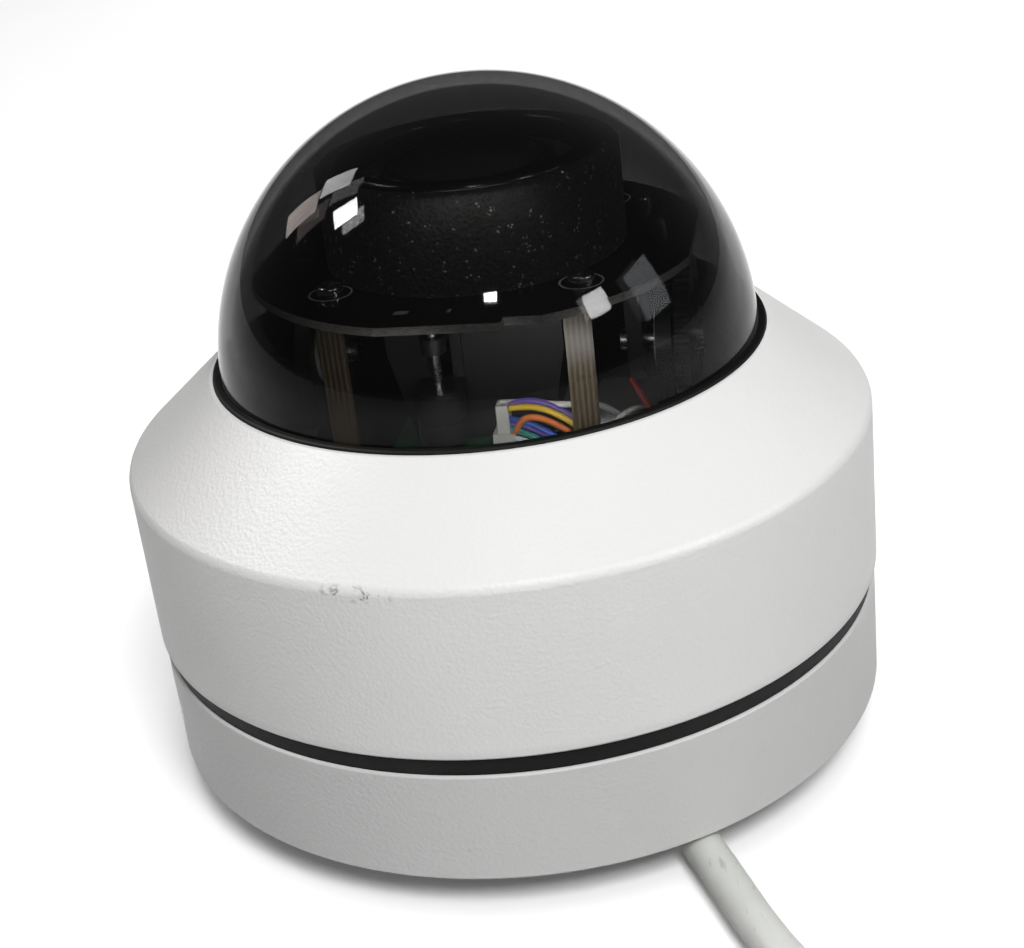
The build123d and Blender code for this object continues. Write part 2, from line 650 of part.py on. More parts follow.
def front_lens():
    """Convex front glass, held in the head of the lens tube."""
    low, edge, rise = head_top - 4.5, head_top - 1.6, 2.0
    bulge_r = (FRONT_GLASS_R ** 2 + rise ** 2) / (2 * rise)
    ball = Pos(0, 0, edge + rise - bulge_r) * Sphere(bulge_r)
    return disc(FRONT_GLASS_R, low, edge + rise) & (ball + disc(FRONT_GLASS_R, low, edge))


def lens_carrier(side, z):
    """Ring that slides in the tube, with an arm out to its lead screw."""
    top = z + CARRIER_T
    x, y = side * LENS_MOTOR_X, side * LENS_MOTOR_Y
    body = ring(CARRIER_BORE_R, BARREL_R - BARREL_WALL - RUN, z, top)
    arm = block(x - 1.6, x + 1.6, *sorted((side * 8.2, y)), z, top) - disc(CARRIER_BORE_R, z - 1, top + 1)
    return join([body, arm, disc(2.4, z, top, x, y)]) - disc(LENS_SCREW_R + RUN, z - 1, top + 1, x, y)


def lens_glass(z):
    ball_r = 16.0
    top = z + CARRIER_T
    lens = disc(CARRIER_BORE_R - 0.02, z + 0.3, top)
    return lens & (Pos(0, 0, top - ball_r) * Sphere(ball_r))


LENS_MOTOR_LOW = -11.5
LENS_MOTOR_TOP = -1.5


def lens_motors():
    motors = []
    for s in (-1, 1):
        x, y = s * LENS_MOTOR_X, s * LENS_MOTOR_Y
        can = disc(LENS_MOTOR_R, LENS_MOTOR_LOW, LENS_MOTOR_TOP, x, y)
        can = fillet(circle_edges(can, LENS_MOTOR_R, LENS_MOTOR_LOW), 0.8)
        can = can - ring(LENS_MOTOR_R - 0.35, 9, -6.9, -6.1, x, y)
        motors.append(can - disc(LENS_SCREW_R + RUN, -7.5, 9, x, y))
    return motors


SCREW_TOP = 14.6


def lens_lead_screw(side):
    return disc(LENS_SCREW_R, -7.0, SCREW_TOP, side * LENS_MOTOR_X, side * LENS_MOTOR_Y)


def lens_motor_brackets():
    """C-shaped strip that joins each lens motor to the block and holds the screw's far end."""
    brackets = []
    for s in (-1, 1):
        x, y = s * LENS_MOTOR_X, s * LENS_MOTOR_Y
        wall_y = sorted((s * BLOCK_Y, s * (BLOCK_Y + 0.8)))
        back = block(x - 4.2, x + 4.2, *wall_y, LENS_MOTOR_TOP, SCREW_TOP + 1.2)
        back = back - block(x - 2.4, x + 2.4, -30, 30, LENS_MOTOR_TOP + 0.85, SCREW_TOP - 0.3)
        for z in (LENS_MOTOR_TOP, SCREW_TOP):
            flange = block(x - 4.2, x + 4.2, *sorted((s * BLOCK_Y, y)), z, z + 0.8)
            back = back + flange + disc(4.2, z, z + 0.8, x, y)
        back = back - disc(LENS_SCREW_R + RUN, -9, SCREW_TOP + 0.2, x, y)
        brackets.append(back)
    return brackets


def lens_block(half):
    """Half of the black block around the lens tube: front half -1, back half +1."""
    top, foot = head_low - 0.2, 13.0
    body = block(-BLOCK_X, BLOCK_X, -BLOCK_Y, BLOCK_Y, BLOCK_LOW, top)
    for s in (-1, 1):
        wedge = Plane.XZ * make_face(Polyline((s * foot, BLOCK_LOW), (s * BLOCK_X, BLOCK_LOW),
                                              (s * BLOCK_X, 4), close=True))
        body = body - extrude(wedge, 40, both=True)
    core = block(-foot + BLOCK_WALL, foot - BLOCK_WALL, -BLOCK_Y + BLOCK_WALL, BLOCK_Y - BLOCK_WALL,
                 BLOCK_LOW - 1, barrel_low)
    tools = [core, disc(BARREL_R + FIT, barrel_low - 0.01, top + 1)]
    tools += [lens_slot(s, s * LENS_MOTOR_X, 60, barrel_low + 1, top - 1) for s in (-1, 1)]
    body = cut(body, tools)
    side = block(-60, 60, *sorted((half * 0.0, half * 60)), -60, 60)
    return body & side


sensor_board_top = BLOCK_LOW


def sensor_board():
    plate = block(-17.4, 17.4, -23.5, 20, sensor_board_top - SENSOR_BOARD_T, sensor_board_top)
    return fillet(plate.edges().filter_by(Axis.Z), 1.5)


PLUG_X0, PLUG_X1 = 3.6, 7.8


def sensor_board_parts():
    """Image sensor, and the open wire socket on the board's front edge."""
    chip = block(-5, 5, -4, 4, sensor_board_top, sensor_board_top + 1.4)
    body = block(PLUG_X0, PLUG_X1, -23.3, -18.2, sensor_board_top, sensor_board_top + 4.6)
    return [chip, body - block(PLUG_X0 + 0.8, PLUG_X1 - 0.8, -23.0, -19.2, sensor_board_top + 1.4, 60)]


RIBBON_X, RIBBON_Y = 22.5, -29.0
RIBBON_W, RIBBON_T = 5.0, 0.35


def flex_ribbons():
    """Two flat cables from the lamp board down to the turntable and in to its hub."""
    low = turntable_top + 0.2
    strips = []
    for s in (-1, 1):
        x0, x1 = s * RIBBON_X - RIBBON_W / 2, s * RIBBON_X + RIBBON_W / 2
        drop = block(x0, x1, RIBBON_Y, RIBBON_Y + RIBBON_T, low, tilt_z + LED_BOARD_Z - LED_BOARD_T - 0.3)
        strips.append(drop + block(x0, x1, RIBBON_Y, RIBBON_Y + 12, low, low + RIBBON_T))
    return strips


def tilt_shafts():
    right = rod_x(SHAFT_R, EAR_X - 2, GEAR_X + GEAR_T + 0.4)
    left = rod_x(SHAFT_R, -ARM_X - ARM_T - 1.4, -EAR_X + 2)
    return [right, left]


def trunnion_nuts():
    right = rod_x(3.6, GEAR_X + GEAR_T, GEAR_X + GEAR_T + 1.6)
    left = rod_x(4.0, -ARM_X - ARM_T - 1.3, -ARM_X - ARM_T - 0.3)
    return [right - rod_x(SHAFT_R, 0, 60), left - rod_x(SHAFT_R, -60, 0)]


# ---------------------------------------------------------------- network lead
lead_route = [(23.0, -46.0), (29.2, -68.5), (34.6, -91.0), (43.0, -112.0), (51.6, -134.0), (52.5, -158.0)]
coil_centre = (10.5, -172.0)
SOCKET_Z = 10.4                            # the socket rests on its ribbed collar
tail_route = [(10.5, -214.0, 20.6), (-9.0, -214.6, 17.0), (-28.0, -211.6, SOCKET_Z), (-46.0, -211.6, SOCKET_Z)]


def arc_radii(route):
    """Largest tangent arc that each corner's two runs allow."""
    radii = []
    for a, b, c in zip(route, route[1:], route[2:]):
        first, second = Vector(*b) - Vector(*a), Vector(*c) - Vector(*b)
        turn = radians(first.get_angle(second))
        radii.append(0.45 * min(first.length, second.length) / tan(turn / 2))
    return radii


def tube(route, name):
    """Round cable along straight runs joined by tangent arcs."""
    radii = arc_radii(route)
    path = FilletPolyline(*route, radius=radii)
    start = Plane(origin=route[0], z_dir=Vector(*route[1]) - Vector(*route[0]))
    solid = sweep(start * Circle(CABLE_R), path=path)
    print(name, "radii", [round(r, 1) for r in radii], "length", round(path.length, 1),
          "volume ratio", round(solid.volume / (pi * CABLE_R ** 2 * path.length), 4))
    return solid


def network_cable():
    """The two stretches of the lead that aren't coiled."""
    return [tube([(x, y, CABLE_Z) for x, y in lead_route], "lead to coil"), tube(tail_route, "coil to socket")]


def cable_coil():
    cx, cy = coil_centre
    return ring(COIL_R - CABLE_R - 0.4, COIL_R + CABLE_R + 0.4, 0, COIL_H, cx, cy)


def cable_boot():
    """Moulded elbow that turns the cable out from under the base."""
    bar = block(-6.5, BOOT_L, -BOOT_W / 2, BOOT_W / 2, 0.1, BRACKET_H - 0.1)
    bar = fillet(bar.edges().filter_by(Axis.X), 1.6)
    grooves = [block(x, x + 1.4, -BOOT_W / 2 - 1, BOOT_W / 2 + 1, 0, 99)
               - block(-9, 40, -BOOT_W / 2 + 0.9, BOOT_W / 2 - 0.9, 0.1, BRACKET_H - 0.9) for x in (10, 14, 18)]
    bar = cut(bar, grooves)
    bar = on_boot(bar)
    stub = disc(BOOT_STUB_R, BRACKET_H - 1, floor_top + 4, boot_start.X, boot_start.Y)
    return bar + stub


SOCKET_L = 38.0
SOCKET_R = 8.2
PORT = (11.8, 9.0, 14.0)


def far_end(shape):
    """Place something drawn along +X from the origin on the end of the lead."""
    x, y, z = tail_route[-1]
    px, py, pz = tail_route[-2]
    heading = degrees(atan2(y - py, x - px))
    drop = degrees(atan2(pz - z, sqrt((x - px) ** 2 + (y - py) ** 2)))
    return Pos(x, y, z) * Rot(0, 0, heading) * Rot(0, drop, 0) * shape


def network_socket():
    """Moulded body of the network socket on the end of the lead."""
    neck = rod_x(5.2, 0, 12)
    body = rod_x(SOCKET_R, 10, SOCKET_L)
    body = fillet(body.edges().filter_by(GeomType.CIRCLE), 1.0)
    port = block(SOCKET_L - PORT[2], SOCKET_L + 5, -PORT[0] / 2, PORT[0] / 2, -PORT[1] / 2, PORT[1] / 2)
    return far_end(neck + body - port)


def socket_nut():
    """Ribbed collar that a waterproof cap screws on to."""
    sleeve = rod_x(SOCKET_R + 1.6, 15, 25) - rod_x(SOCKET_R + 0.02, 0, 60)
    ribs = [Rot(a, 0, 0) * Pos(20, 0, SOCKET_R + 1.7) * Box(8.4, 1.2, 0.9) for a in range(0, 360, 30)]
    return far_end(join([sleeve] + ribs))


# ---------------------------------------------------------------- fasteners
def base_screws():
    """Three screws down into the bracket, and three up into the housing."""
    short = screw(3.0, 2.0, 1.6, BASE_FLOOR + 5.0)
    down = [Pos(x, y, floor_top) * short for x, y in around(BASE_SCREW_CIRCLE_R, bolt_angles)]
    reach = housing_low + 10 - (BRACKET_H + 2.8)
    one = Rot(180, 0, 0) * screw(2.75, 2.6, 1.5, reach)
    return down + [Pos(x, y, BRACKET_H + 2.9) * one for x, y in around(HOUSING_SCREW_R, housing_screw_angles)]


def inner_screws():
    """Screws of the dome clamp, the deck and the main board."""
    clamp = Rot(180, 0, 0) * screw(2.1, 1.4, 1.0, CLAMP_T + 2.6)
    plate = screw(2.6, 1.8, 1.2, DECK_T + 6.0)
    board = screw(1.9, 1.3, 0.95, 1.6 + 3.4)
    screws = [Pos(x, y, clamp_low) * clamp for x, y in around(CLAMP_SCREW_R, deck_post_angles)]
    screws += [Pos(x, y, deck_top) * plate for x, y in around(DECK_POST_R, deck_post_angles)]
    return screws + [Pos(x, y, board_top) * board for x, y in standoff_xy]


# ---------------------------------------------------------------- write every node
def main():
    os.makedirs("parts", exist_ok=True)
    head = Rot(0, 0, PARK_PAN)
    tilt = Rot(0, 0, PARK_PAN) * Pos(0, 0, tilt_z)
    fixed = [mounting_bracket, mounting_base, lock_screw, base_screws, base_seal, upper_housing, dome_gasket,
             dome_cover, dome_clamp_ring, inner_screws, inner_liner, deck, pan_bush, pan_motor, pan_pinion,
             main_board, board_components, card_slot, memory_card, reset_switch, reset_button, cable_boot,
             network_cable, cable_coil, network_socket, socket_nut, pan_gear]
    for maker in fixed:
        write(maker.__name__, maker())
    for maker in (turntable, hub_clip, tilt_bushes, yoke_screws, tilt_motor, tilt_pinion, tilt_gear, flex_ribbons):
        write(maker.__name__, maker(), head)
    write("yoke_arm_left", yoke_arm(-1), head)
    write("yoke_arm_right", yoke_arm(1), head)
    for maker in (tilt_cradle, tilt_shafts, trunnion_nuts, led_board, led_board_screws, led_emitters,
                  foam_shield, lens_bezel, inner_foam, lens_barrel, front_lens, lens_motors,
                  lens_motor_brackets, sensor_board, sensor_board_parts):
        write(maker.__name__, maker(), tilt)
    write("lens_block_front", lens_block(-1), tilt)
    write("lens_block_back", lens_block(1), tilt)
    write("zoom_carrier", lens_carrier(-1, ZOOM_Z), tilt)
    write("zoom_glass", lens_glass(ZOOM_Z), tilt)
    write("zoom_screw", lens_lead_screw(-1), tilt)
    write("focus_carrier", lens_carrier(1, FOCUS_Z), tilt)
    write("focus_glass", lens_glass(FOCUS_Z), tilt)
    write("focus_screw", lens_lead_screw(1), tilt)


main()
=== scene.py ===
# %% [markdown]
# # A dome camera on the bench
# The camera's engineering model comes in first and stays where it is. Every piece made here sits on
# it: the white shells, the smoked dome, the lens head inside it, and the network lead. The engineering
# pieces whose shape is already right keep their mesh and only get a finish.

# %% Load the frame
import json
import math

import bmesh
import bpy
from mathutils import Matrix, Vector

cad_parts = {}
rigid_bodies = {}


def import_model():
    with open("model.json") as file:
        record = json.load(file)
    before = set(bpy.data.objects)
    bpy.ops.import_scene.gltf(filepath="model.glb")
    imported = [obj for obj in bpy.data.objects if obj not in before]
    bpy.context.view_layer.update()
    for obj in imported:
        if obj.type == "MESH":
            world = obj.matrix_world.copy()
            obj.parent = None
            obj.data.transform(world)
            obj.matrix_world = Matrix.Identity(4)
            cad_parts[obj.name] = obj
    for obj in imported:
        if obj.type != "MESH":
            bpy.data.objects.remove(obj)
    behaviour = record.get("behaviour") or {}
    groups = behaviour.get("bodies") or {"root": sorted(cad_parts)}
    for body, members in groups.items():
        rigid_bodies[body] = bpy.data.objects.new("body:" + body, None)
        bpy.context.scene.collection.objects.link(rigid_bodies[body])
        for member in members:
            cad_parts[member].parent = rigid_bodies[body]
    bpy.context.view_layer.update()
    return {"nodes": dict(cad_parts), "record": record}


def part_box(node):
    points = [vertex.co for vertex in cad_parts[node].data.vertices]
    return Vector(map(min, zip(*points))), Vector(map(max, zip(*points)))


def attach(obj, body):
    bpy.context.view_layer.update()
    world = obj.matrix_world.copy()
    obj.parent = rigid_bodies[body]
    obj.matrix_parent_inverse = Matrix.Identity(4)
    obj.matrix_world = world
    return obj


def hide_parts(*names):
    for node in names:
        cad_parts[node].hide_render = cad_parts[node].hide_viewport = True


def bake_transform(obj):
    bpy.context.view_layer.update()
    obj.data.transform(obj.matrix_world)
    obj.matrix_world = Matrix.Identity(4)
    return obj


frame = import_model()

MM = 0.001

# %% [markdown]
# ## Places
# All places come from the engineering model. The pan axis is the Z axis. The tilt axis is read from
# its joint, so the pieces of the lens head can be drawn square to it and then turned with it.

# %% Places read from the frame
joints = {j["name"]: j for j in frame["record"]["behaviour"]["joints"]}
tilt_axis = Vector(joints["tilt"]["axis"])
tilt_z = joints["tilt"]["pos_m"][2]
park = math.atan2(tilt_axis.y, tilt_axis.x)
head_turn = Matrix.Translation((0, 0, tilt_z)) @ Matrix.Rotation(park, 4, "Z")
housing_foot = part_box("upper_housing")[0].z
board_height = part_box("led_board")[1].z
foam_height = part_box("foam_shield")[1].z
bezel_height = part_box("lens_bezel")[1].z
inner_foam_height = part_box("inner_foam")[1].z
seal_low, seal_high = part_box("base_seal")
gasket_low, gasket_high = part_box("dome_gasket")
dome_low, dome_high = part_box("dome_cover")
glass_low, glass_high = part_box("front_lens")
ribbon_low, ribbon_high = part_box("flex_ribbons")
DOME_R = 52.3 * MM
dome_centre = dome_high.z - DOME_R
print("tilt axis at", round(tilt_z, 4), "parked", round(math.degrees(park), 1), "degrees")

# %% [markdown]
# ## The camera
# The view looks down on the object by about 25 degrees from close by, with a little roll. The place
# is worked out from the aim point, the distance and these two angles.

# %% Camera
AIM = Vector((0.00137, 0.0173, 0.0444))
DISTANCE = 0.391
ELEVATION = math.radians(25.39)
ROLL = math.radians(-6.88)
FIELD_OF_VIEW = math.radians(31.02)

camera_data = bpy.data.cameras.new("bench_view")
camera_data.sensor_width = 36
camera_data.lens = 18 / math.tan(FIELD_OF_VIEW / 2)
camera = bpy.data.objects.new("bench_view", camera_data)
bpy.context.scene.collection.objects.link(camera)
back = Vector((0, -math.cos(ELEVATION), math.sin(ELEVATION)))
facing = Matrix.Rotation(math.pi / 2 - ELEVATION, 4, "X") @ Matrix.Rotation(ROLL, 4, "Z")
camera.matrix_world = Matrix.Translation(AIM + back * DISTANCE) @ facing
bpy.context.scene.camera = camera
print("camera at", [round(v, 4) for v in camera.matrix_world.translation])

# %% [markdown]
# ## The network lead
# The lead is a curve whose points are listed: it leaves the boot under the base, runs to the
# front and lies in a small coil that is put away in front of the camera's view. The coil is a loop of
# points, each turn lying on the one below. The curve only bends near its points, as a stiff lead does.

# %% Lead
LEAD_R = 3.7 * MM
LEAD_Z = 3.75
lead_route = [(23.0, -46.0), (29.2, -68.5), (34.6, -91.0), (43.0, -112.0), (51.6, -134.0), (52.5, -158.0)]
coil_centre = (10.5, -172.0)
COIL_R = 42.6
TURNS = 2.25
POINTS_PER_TURN = 16
TURN_RISE = 7.5
tail_route = [(-9.0, -214.6, 17.0), (-28.0, -211.6, 10.4), (-46.0, -211.6, 10.4)]

lead_points = [(x, y, LEAD_Z) for x, y in lead_route]
for i in range(1, int(TURNS * POINTS_PER_TURN) + 1):
    turned = i / POINTS_PER_TURN
    angle = -2 * math.pi * turned
    lead_points.append((coil_centre[0] + COIL_R * math.cos(angle), coil_centre[1] + COIL_R * math.sin(angle),
                        LEAD_Z + TURN_RISE * turned))
lead_points += tail_route

lead_curve = bpy.data.curves.new("network_lead", "CURVE")
lead_curve.dimensions = "3D"
lead_spline = lead_curve.splines.new("NURBS")
lead_spline.points.add(len(lead_points) - 1)
for point, place in zip(lead_spline.points, lead_points):
    point.co = (place[0] * MM, place[1] * MM, place[2] * MM, 1)
lead_spline.order_u = 3
lead_spline.use_endpoint_u = True
lead_curve.resolution_u = 12
lead_curve.bevel_depth = LEAD_R
lead_curve.bevel_resolution = 8
lead_curve.use_fill_caps = True
lead = bpy.data.objects.new("network_lead", lead_curve)
bpy.context.scene.collection.objects.link(lead)
print("lead points", len(lead_points))

# %% [markdown]
# ## Helpers for modelling
# Round parts are made as on a lathe: a circle is added, then its edge is extruded up or down and
# scaled to each next radius, which is how the outline is traced by hand in edit mode. The corners are
# softened with a Bevel modifier that is then applied.

# %% Modelling helpers
def clear_selection():
    if bpy.context.mode != "OBJECT":
        bpy.ops.object.mode_set(mode="OBJECT")
    bpy.ops.object.select_all(action="DESELECT")


def make_active(piece):
    clear_selection()
    piece.select_set(True)
    bpy.context.view_layer.objects.active = piece


def new_piece(name):
    piece = bpy.context.object
    piece.name = name
    piece.data.name = name
    return piece


def settle(piece):
    """Write the object's place, turn and scale into its mesh."""
    make_active(piece)
    bpy.ops.object.transform_apply(location=True, rotation=True, scale=True)


def pick(piece, test, kind="FACE"):
    """In edit mode, select the parts of the mesh whose place or normal passes a test."""
    bpy.ops.mesh.select_mode(type=kind)
    bpy.ops.mesh.select_all(action="DESELECT")
    mesh = bmesh.from_edit_mesh(piece.data)
    parts = {"FACE": mesh.faces, "EDGE": mesh.edges, "VERT": mesh.verts}[kind]
    for part in parts:
        if test(part):
            part.select_set(True)
    mesh.select_flush_mode()
    bmesh.update_edit_mesh(piece.data)


def add_modifier(piece, kind, **settings):
    make_active(piece)
    modifier = piece.modifiers.new(kind.lower(), kind)
    for key, value in settings.items():
        setattr(modifier, key, value)
    bpy.ops.object.modifier_apply(modifier=modifier.name)


def soften(piece, width, segments=3, angle=30):
    add_modifier(piece, "BEVEL", width=width, segments=segments, limit_method="ANGLE",
                 angle_limit=math.radians(angle), harden_normals=False)


def shade(piece, angle=35):
    make_active(piece)
    bpy.ops.object.shade_smooth_by_angle(angle=math.radians(angle))
    add_modifier(piece, "WEIGHTED_NORMAL", keep_sharp=True, weight=90)


def face_out(piece):
    make_active(piece)
    bpy.ops.object.mode_set(mode="EDIT")
    bpy.ops.mesh.select_all(action="SELECT")
    bpy.ops.mesh.remove_doubles(threshold=1e-6)
    bpy.ops.mesh.normals_make_consistent(inside=False)
    bpy.ops.object.mode_set(mode="OBJECT")


def lathe(name, outline, segments=128, closed=True):
    """Trace an outline of (radius, height) corners round the Z axis. Closed outlines make a ring."""
    clear_selection()
    r, z = outline[0]
    bpy.ops.mesh.primitive_circle_add(vertices=segments, radius=r, location=(0, 0, z), fill_type="NOTHING")
    piece = new_piece(name)
    settle(piece)
    bpy.ops.object.mode_set(mode="EDIT")
    bpy.ops.mesh.select_mode(type="EDGE")
    bpy.ops.mesh.select_all(action="SELECT")
    for (r0, z0), (r1, z1) in zip(outline, outline[1:]):
        bpy.ops.mesh.extrude_edges_move(TRANSFORM_OT_translate={"value": (0, 0, z1 - z0)})
        bpy.ops.transform.resize(value=(r1 / r0, r1 / r0, 1), center_override=(0, 0, 0))
    if closed:
        ends = [outline[0], outline[-1]]

        def on_end(edge):
            spots = [(math.hypot(v.co.x, v.co.y), v.co.z) for v in edge.verts]
            return any(all(abs(s[0] - e[0]) < 1e-6 and abs(s[1] - e[1]) < 1e-6 for s in spots) for e in ends)

        pick(piece, on_end, "EDGE")
        bpy.ops.mesh.bridge_edge_loops()
    bpy.ops.object.mode_set(mode="OBJECT")
    face_out(piece)
    return piece


def box_piece(name, low, high):
    """A box from its two corners: the start of the squarer pieces."""
    clear_selection()
    low, high = Vector(low), Vector(high)
    bpy.ops.mesh.primitive_cube_add(size=1, location=(low + high) / 2)
    piece = new_piece(name)
    piece.scale = high - low
    settle(piece)
    return piece


def turn_with_head(piece):
    """Pieces of the lens head are drawn square, with the tilt axis at the origin, then turned."""
    piece.matrix_world = head_turn @ piece.matrix_world
    settle(piece)
    return piece


def wire(name, points, radius):
    """A round insulated wire through points, made as a bevelled curve and turned into a mesh."""
    curve = bpy.data.curves.new(name, "CURVE")
    curve.dimensions = "3D"
    spline = curve.splines.new("NURBS")
    spline.points.add(len(points) - 1)
    for target, place in zip(spline.points, points):
        target.co = (*place, 1)
    spline.order_u = min(4, len(points))
    spline.use_endpoint_u = True
    curve.resolution_u = 8
    curve.bevel_depth = radius
    curve.bevel_resolution = 2
    curve.use_fill_caps = True
    piece = bpy.data.objects.new(name, curve)
    bpy.context.scene.collection.objects.link(piece)
    make_active(piece)
    bpy.ops.object.convert(target="MESH")
    return new_piece(name)


def join_into(name, pieces):
    clear_selection()
    for piece in pieces:
        piece.select_set(True)
    bpy.context.view_layer.objects.active = pieces[0]
    if len(pieces) > 1:
        bpy.ops.object.join()
    return new_piece(name)


# %% [markdown]
# ## Helpers for finishes
# A finish is a small recipe of shader nodes. So that the sums read as sums, a socket is wrapped in a
# class that knows plus, minus and times. Each of these adds one Math node.

# %% Shader maths
class Value:
    """A socket of a shader tree that takes part in Python sums."""

    def __init__(self, tree, socket):
        self.tree = tree
        self.socket = socket

    def math(self, operation, *others, clamp=False):
        node = self.tree.nodes.new("ShaderNodeMath")
        node.operation = operation
        node.use_clamp = clamp
        for slot, item in zip(node.inputs, (self, *others)):
            connect(self.tree, slot, item)
        return Value(self.tree, node.outputs[0])

    def __add__(self, other):
        return self.math("ADD", other)

    def __mul__(self, other):
        return self.math("MULTIPLY", other)

    def __sub__(self, other):
        return self.math("SUBTRACT", other)

    def __rsub__(self, other):
        return (self * -1.0) + other

    def __truediv__(self, other):
        return self.math("DIVIDE", other)

    def __pow__(self, other):
        return self.math("POWER", other)

    __radd__ = __add__
    __rmul__ = __mul__

    def low_cut(self, start, full):
        """0 below start, 1 above full, straight between: a soft threshold."""
        return ((self - start) / (full - start)).math("ADD", 0.0, clamp=True)


def connect(tree, slot, item):
    if isinstance(item, Value):
        tree.links.new(item.socket, slot)
    else:
        slot.default_value = item


class Finish:
    """A material with one Principled shader, and short ways to feed it."""

    def __init__(self, name):
        self.material = bpy.data.materials.new(name)
        self.material.use_nodes = True
        self.tree = self.material.node_tree
        self.shader = self.tree.nodes["Principled BSDF"]
        self.place = self.node("ShaderNodeTexCoord", out="Object")

    def node(self, kind, settings=None, inputs=None, out=0):
        node = self.tree.nodes.new(kind)
        for key, value in (settings or {}).items():
            setattr(node, key, value)
        for key, value in (inputs or {}).items():
            connect(self.tree, node.inputs[key], value)
        return Value(self.tree, node.outputs[out])

    def noise(self, scale, detail=3.0, rough=0.5, place=None):
        inputs = {"Vector": place or self.place, "Scale": scale, "Detail": detail, "Roughness": rough}
        return self.node("ShaderNodeTexNoise", None, inputs, "Fac")

    def cells(self, scale, feature="F1", place=None, out="Distance"):
        inputs = {"Vector": place or self.place, "Scale": scale}
        return self.node("ShaderNodeTexVoronoi", {"feature": feature}, inputs, out)

    def axis(self, name, place=None):
        inputs = {"Vector": place or self.place}
        return self.node("ShaderNodeSeparateXYZ", None, inputs, name)

    def mix(self, mask, first, second):
        inputs = {0: mask, 6: first, 7: second}
        return self.node("ShaderNodeMix", {"data_type": "RGBA"}, inputs, 2)

    def bump(self, height, strength, distance):
        inputs = {"Height": height, "Strength": strength, "Distance": distance}
        return self.node("ShaderNodeBump", None, inputs, "Normal")

    def feed(self, **sockets):
        for key, value in sockets.items():
            connect(self.tree, self.shader.inputs[key.replace("_", " ")], value)
        return self


def colour(r, g, b):
    return (r, g, b, 1.0)


def paint(piece, *finishes):
    """Put finishes in a piece's material slots, in order."""
    slots = piece.data.materials
    slots.clear()
    for finish in finishes:
        slots.append(finish.material)


# %% [markdown]
# ## Finishes
# The shells are powder coated: a fine skin of soft grains with a slight sheen, some grey specks, and
# small scuffs where the shoulder has touched other things. Below the seal the paint is darkened as
# painted shade, standing in for the dimmer light low down near the floor. Grain size and depth matter
# more than the colour, so the bump is built from cells under a millimetre across.

# %% White powder coat
SCUFF_X = -27.0 * MM
SCUFF_Z = 66.2 * MM
# Heights where the painted shade below the seal begins and where it is full.
PAINTED_SHADE_TOP = 36.0 * MM
PAINTED_SHADE_FULL = 32.0 * MM


def powder_coat(name, tone, scuffed=False):
    f = Finish(name)
    grain = f.cells(1500, "SMOOTH_F1")
    fine = f.noise(2600, 2.0)
    slow = f.noise(18, 3.0)
    speck = f.cells(95).low_cut(0.055, 0.025) * f.noise(60, 2.0).low_cut(0.60, 0.66)
    skin = f.mix(slow.low_cut(0.35, 0.7), colour(tone, tone, tone * 0.99),
                 colour(tone * 0.95, tone * 0.95, tone * 0.935))
    skin = f.mix(speck * 0.55, skin, colour(0.22, 0.21, 0.19))
    # Painted shade: below the seal the coat is darkened towards grey, standing in for dimmer light near the
    # floor.
    painted_shade_low = f.axis("Z").low_cut(PAINTED_SHADE_TOP, PAINTED_SHADE_FULL)
    skin = f.mix(painted_shade_low * 0.26, skin, colour(0.10, 0.10, 0.11))
    if scuffed:
        band = (f.axis("Z") - SCUFF_Z).math("ABSOLUTE").low_cut(0.0017, 0.0003)
        near = (f.axis("X") - SCUFF_X).math("ABSOLUTE").low_cut(0.0070, 0.0030)
        front = f.axis("Y").low_cut(-0.050, -0.055)
        rub = f.noise(560, 4.0, 0.7).low_cut(0.53, 0.60) * near * front
        skin = f.mix(band * rub * 0.8, skin, colour(0.11, 0.11, 0.12))
    height = grain * 0.75 + fine * 0.35
    f.feed(Base_Color=skin, Roughness=slow * 0.10 + grain * 0.12 + 0.36,
           Normal=f.bump(height, 0.55, 0.00015))
    f.feed(Specular_IOR_Level=0.42)
    return f


# %% [markdown]
# Rubber, sponge and the dark plastics differ in how fine their grain is and how they throw light.
# The sponge has open cells: bright sparks on their edges against black pores.

# %% Dark finishes
def rubber(name, tone, tint=(1, 1, 1)):
    f = Finish(name)
    grain = f.noise(900, 4.0, 0.6)
    dust = f.noise(70, 5.0, 0.65).low_cut(0.52, 0.75)
    base = colour(*(tone * t for t in tint))
    worn = colour(*(min(1, tone * 1.5 + 0.006) * t for t in tint))
    f.feed(Base_Color=f.mix(dust * 0.5, base, worn), Roughness=grain * 0.2 + 0.48,
           Normal=f.bump(grain, 0.25, 0.0001))
    f.feed(Specular_IOR_Level=0.15)
    return f


def sponge(name):
    f = Finish(name)
    pores = f.cells(1500)
    fine = f.noise(3000, 3.0, 0.6)
    spark = f.cells(900, out="Color")
    glint = f.axis("X", spark).low_cut(0.82, 0.95) * pores.low_cut(0.42, 0.20)
    shade_of = f.mix(pores.low_cut(0.2, 0.6), colour(0.024, 0.023, 0.022), colour(0.050, 0.048, 0.045))
    f.feed(Base_Color=f.mix(glint, shade_of, colour(0.62, 0.60, 0.56)), Roughness=0.88,
           Normal=f.bump(pores + fine * 0.5, 0.9, 0.0004))
    return f


def moulded(name, rgb, rough, grain_scale=1100, depth=0.00005, coat=0.0):
    """Moulded or painted plastic with a fine spark-eroded grain."""
    f = Finish(name)
    grain = f.noise(grain_scale, 3.0)
    slow = f.noise(40, 3.0)
    base = colour(*rgb)
    lighter = colour(*(min(1, c * 1.25 + 0.004) for c in rgb))
    f.feed(Base_Color=f.mix(slow.low_cut(0.4, 0.75), base, lighter),
           Roughness=grain * 0.12 + slow * 0.08 + (rough - 0.10), Normal=f.bump(grain, 0.3, depth))
    f.feed(Coat_Weight=coat)
    return f


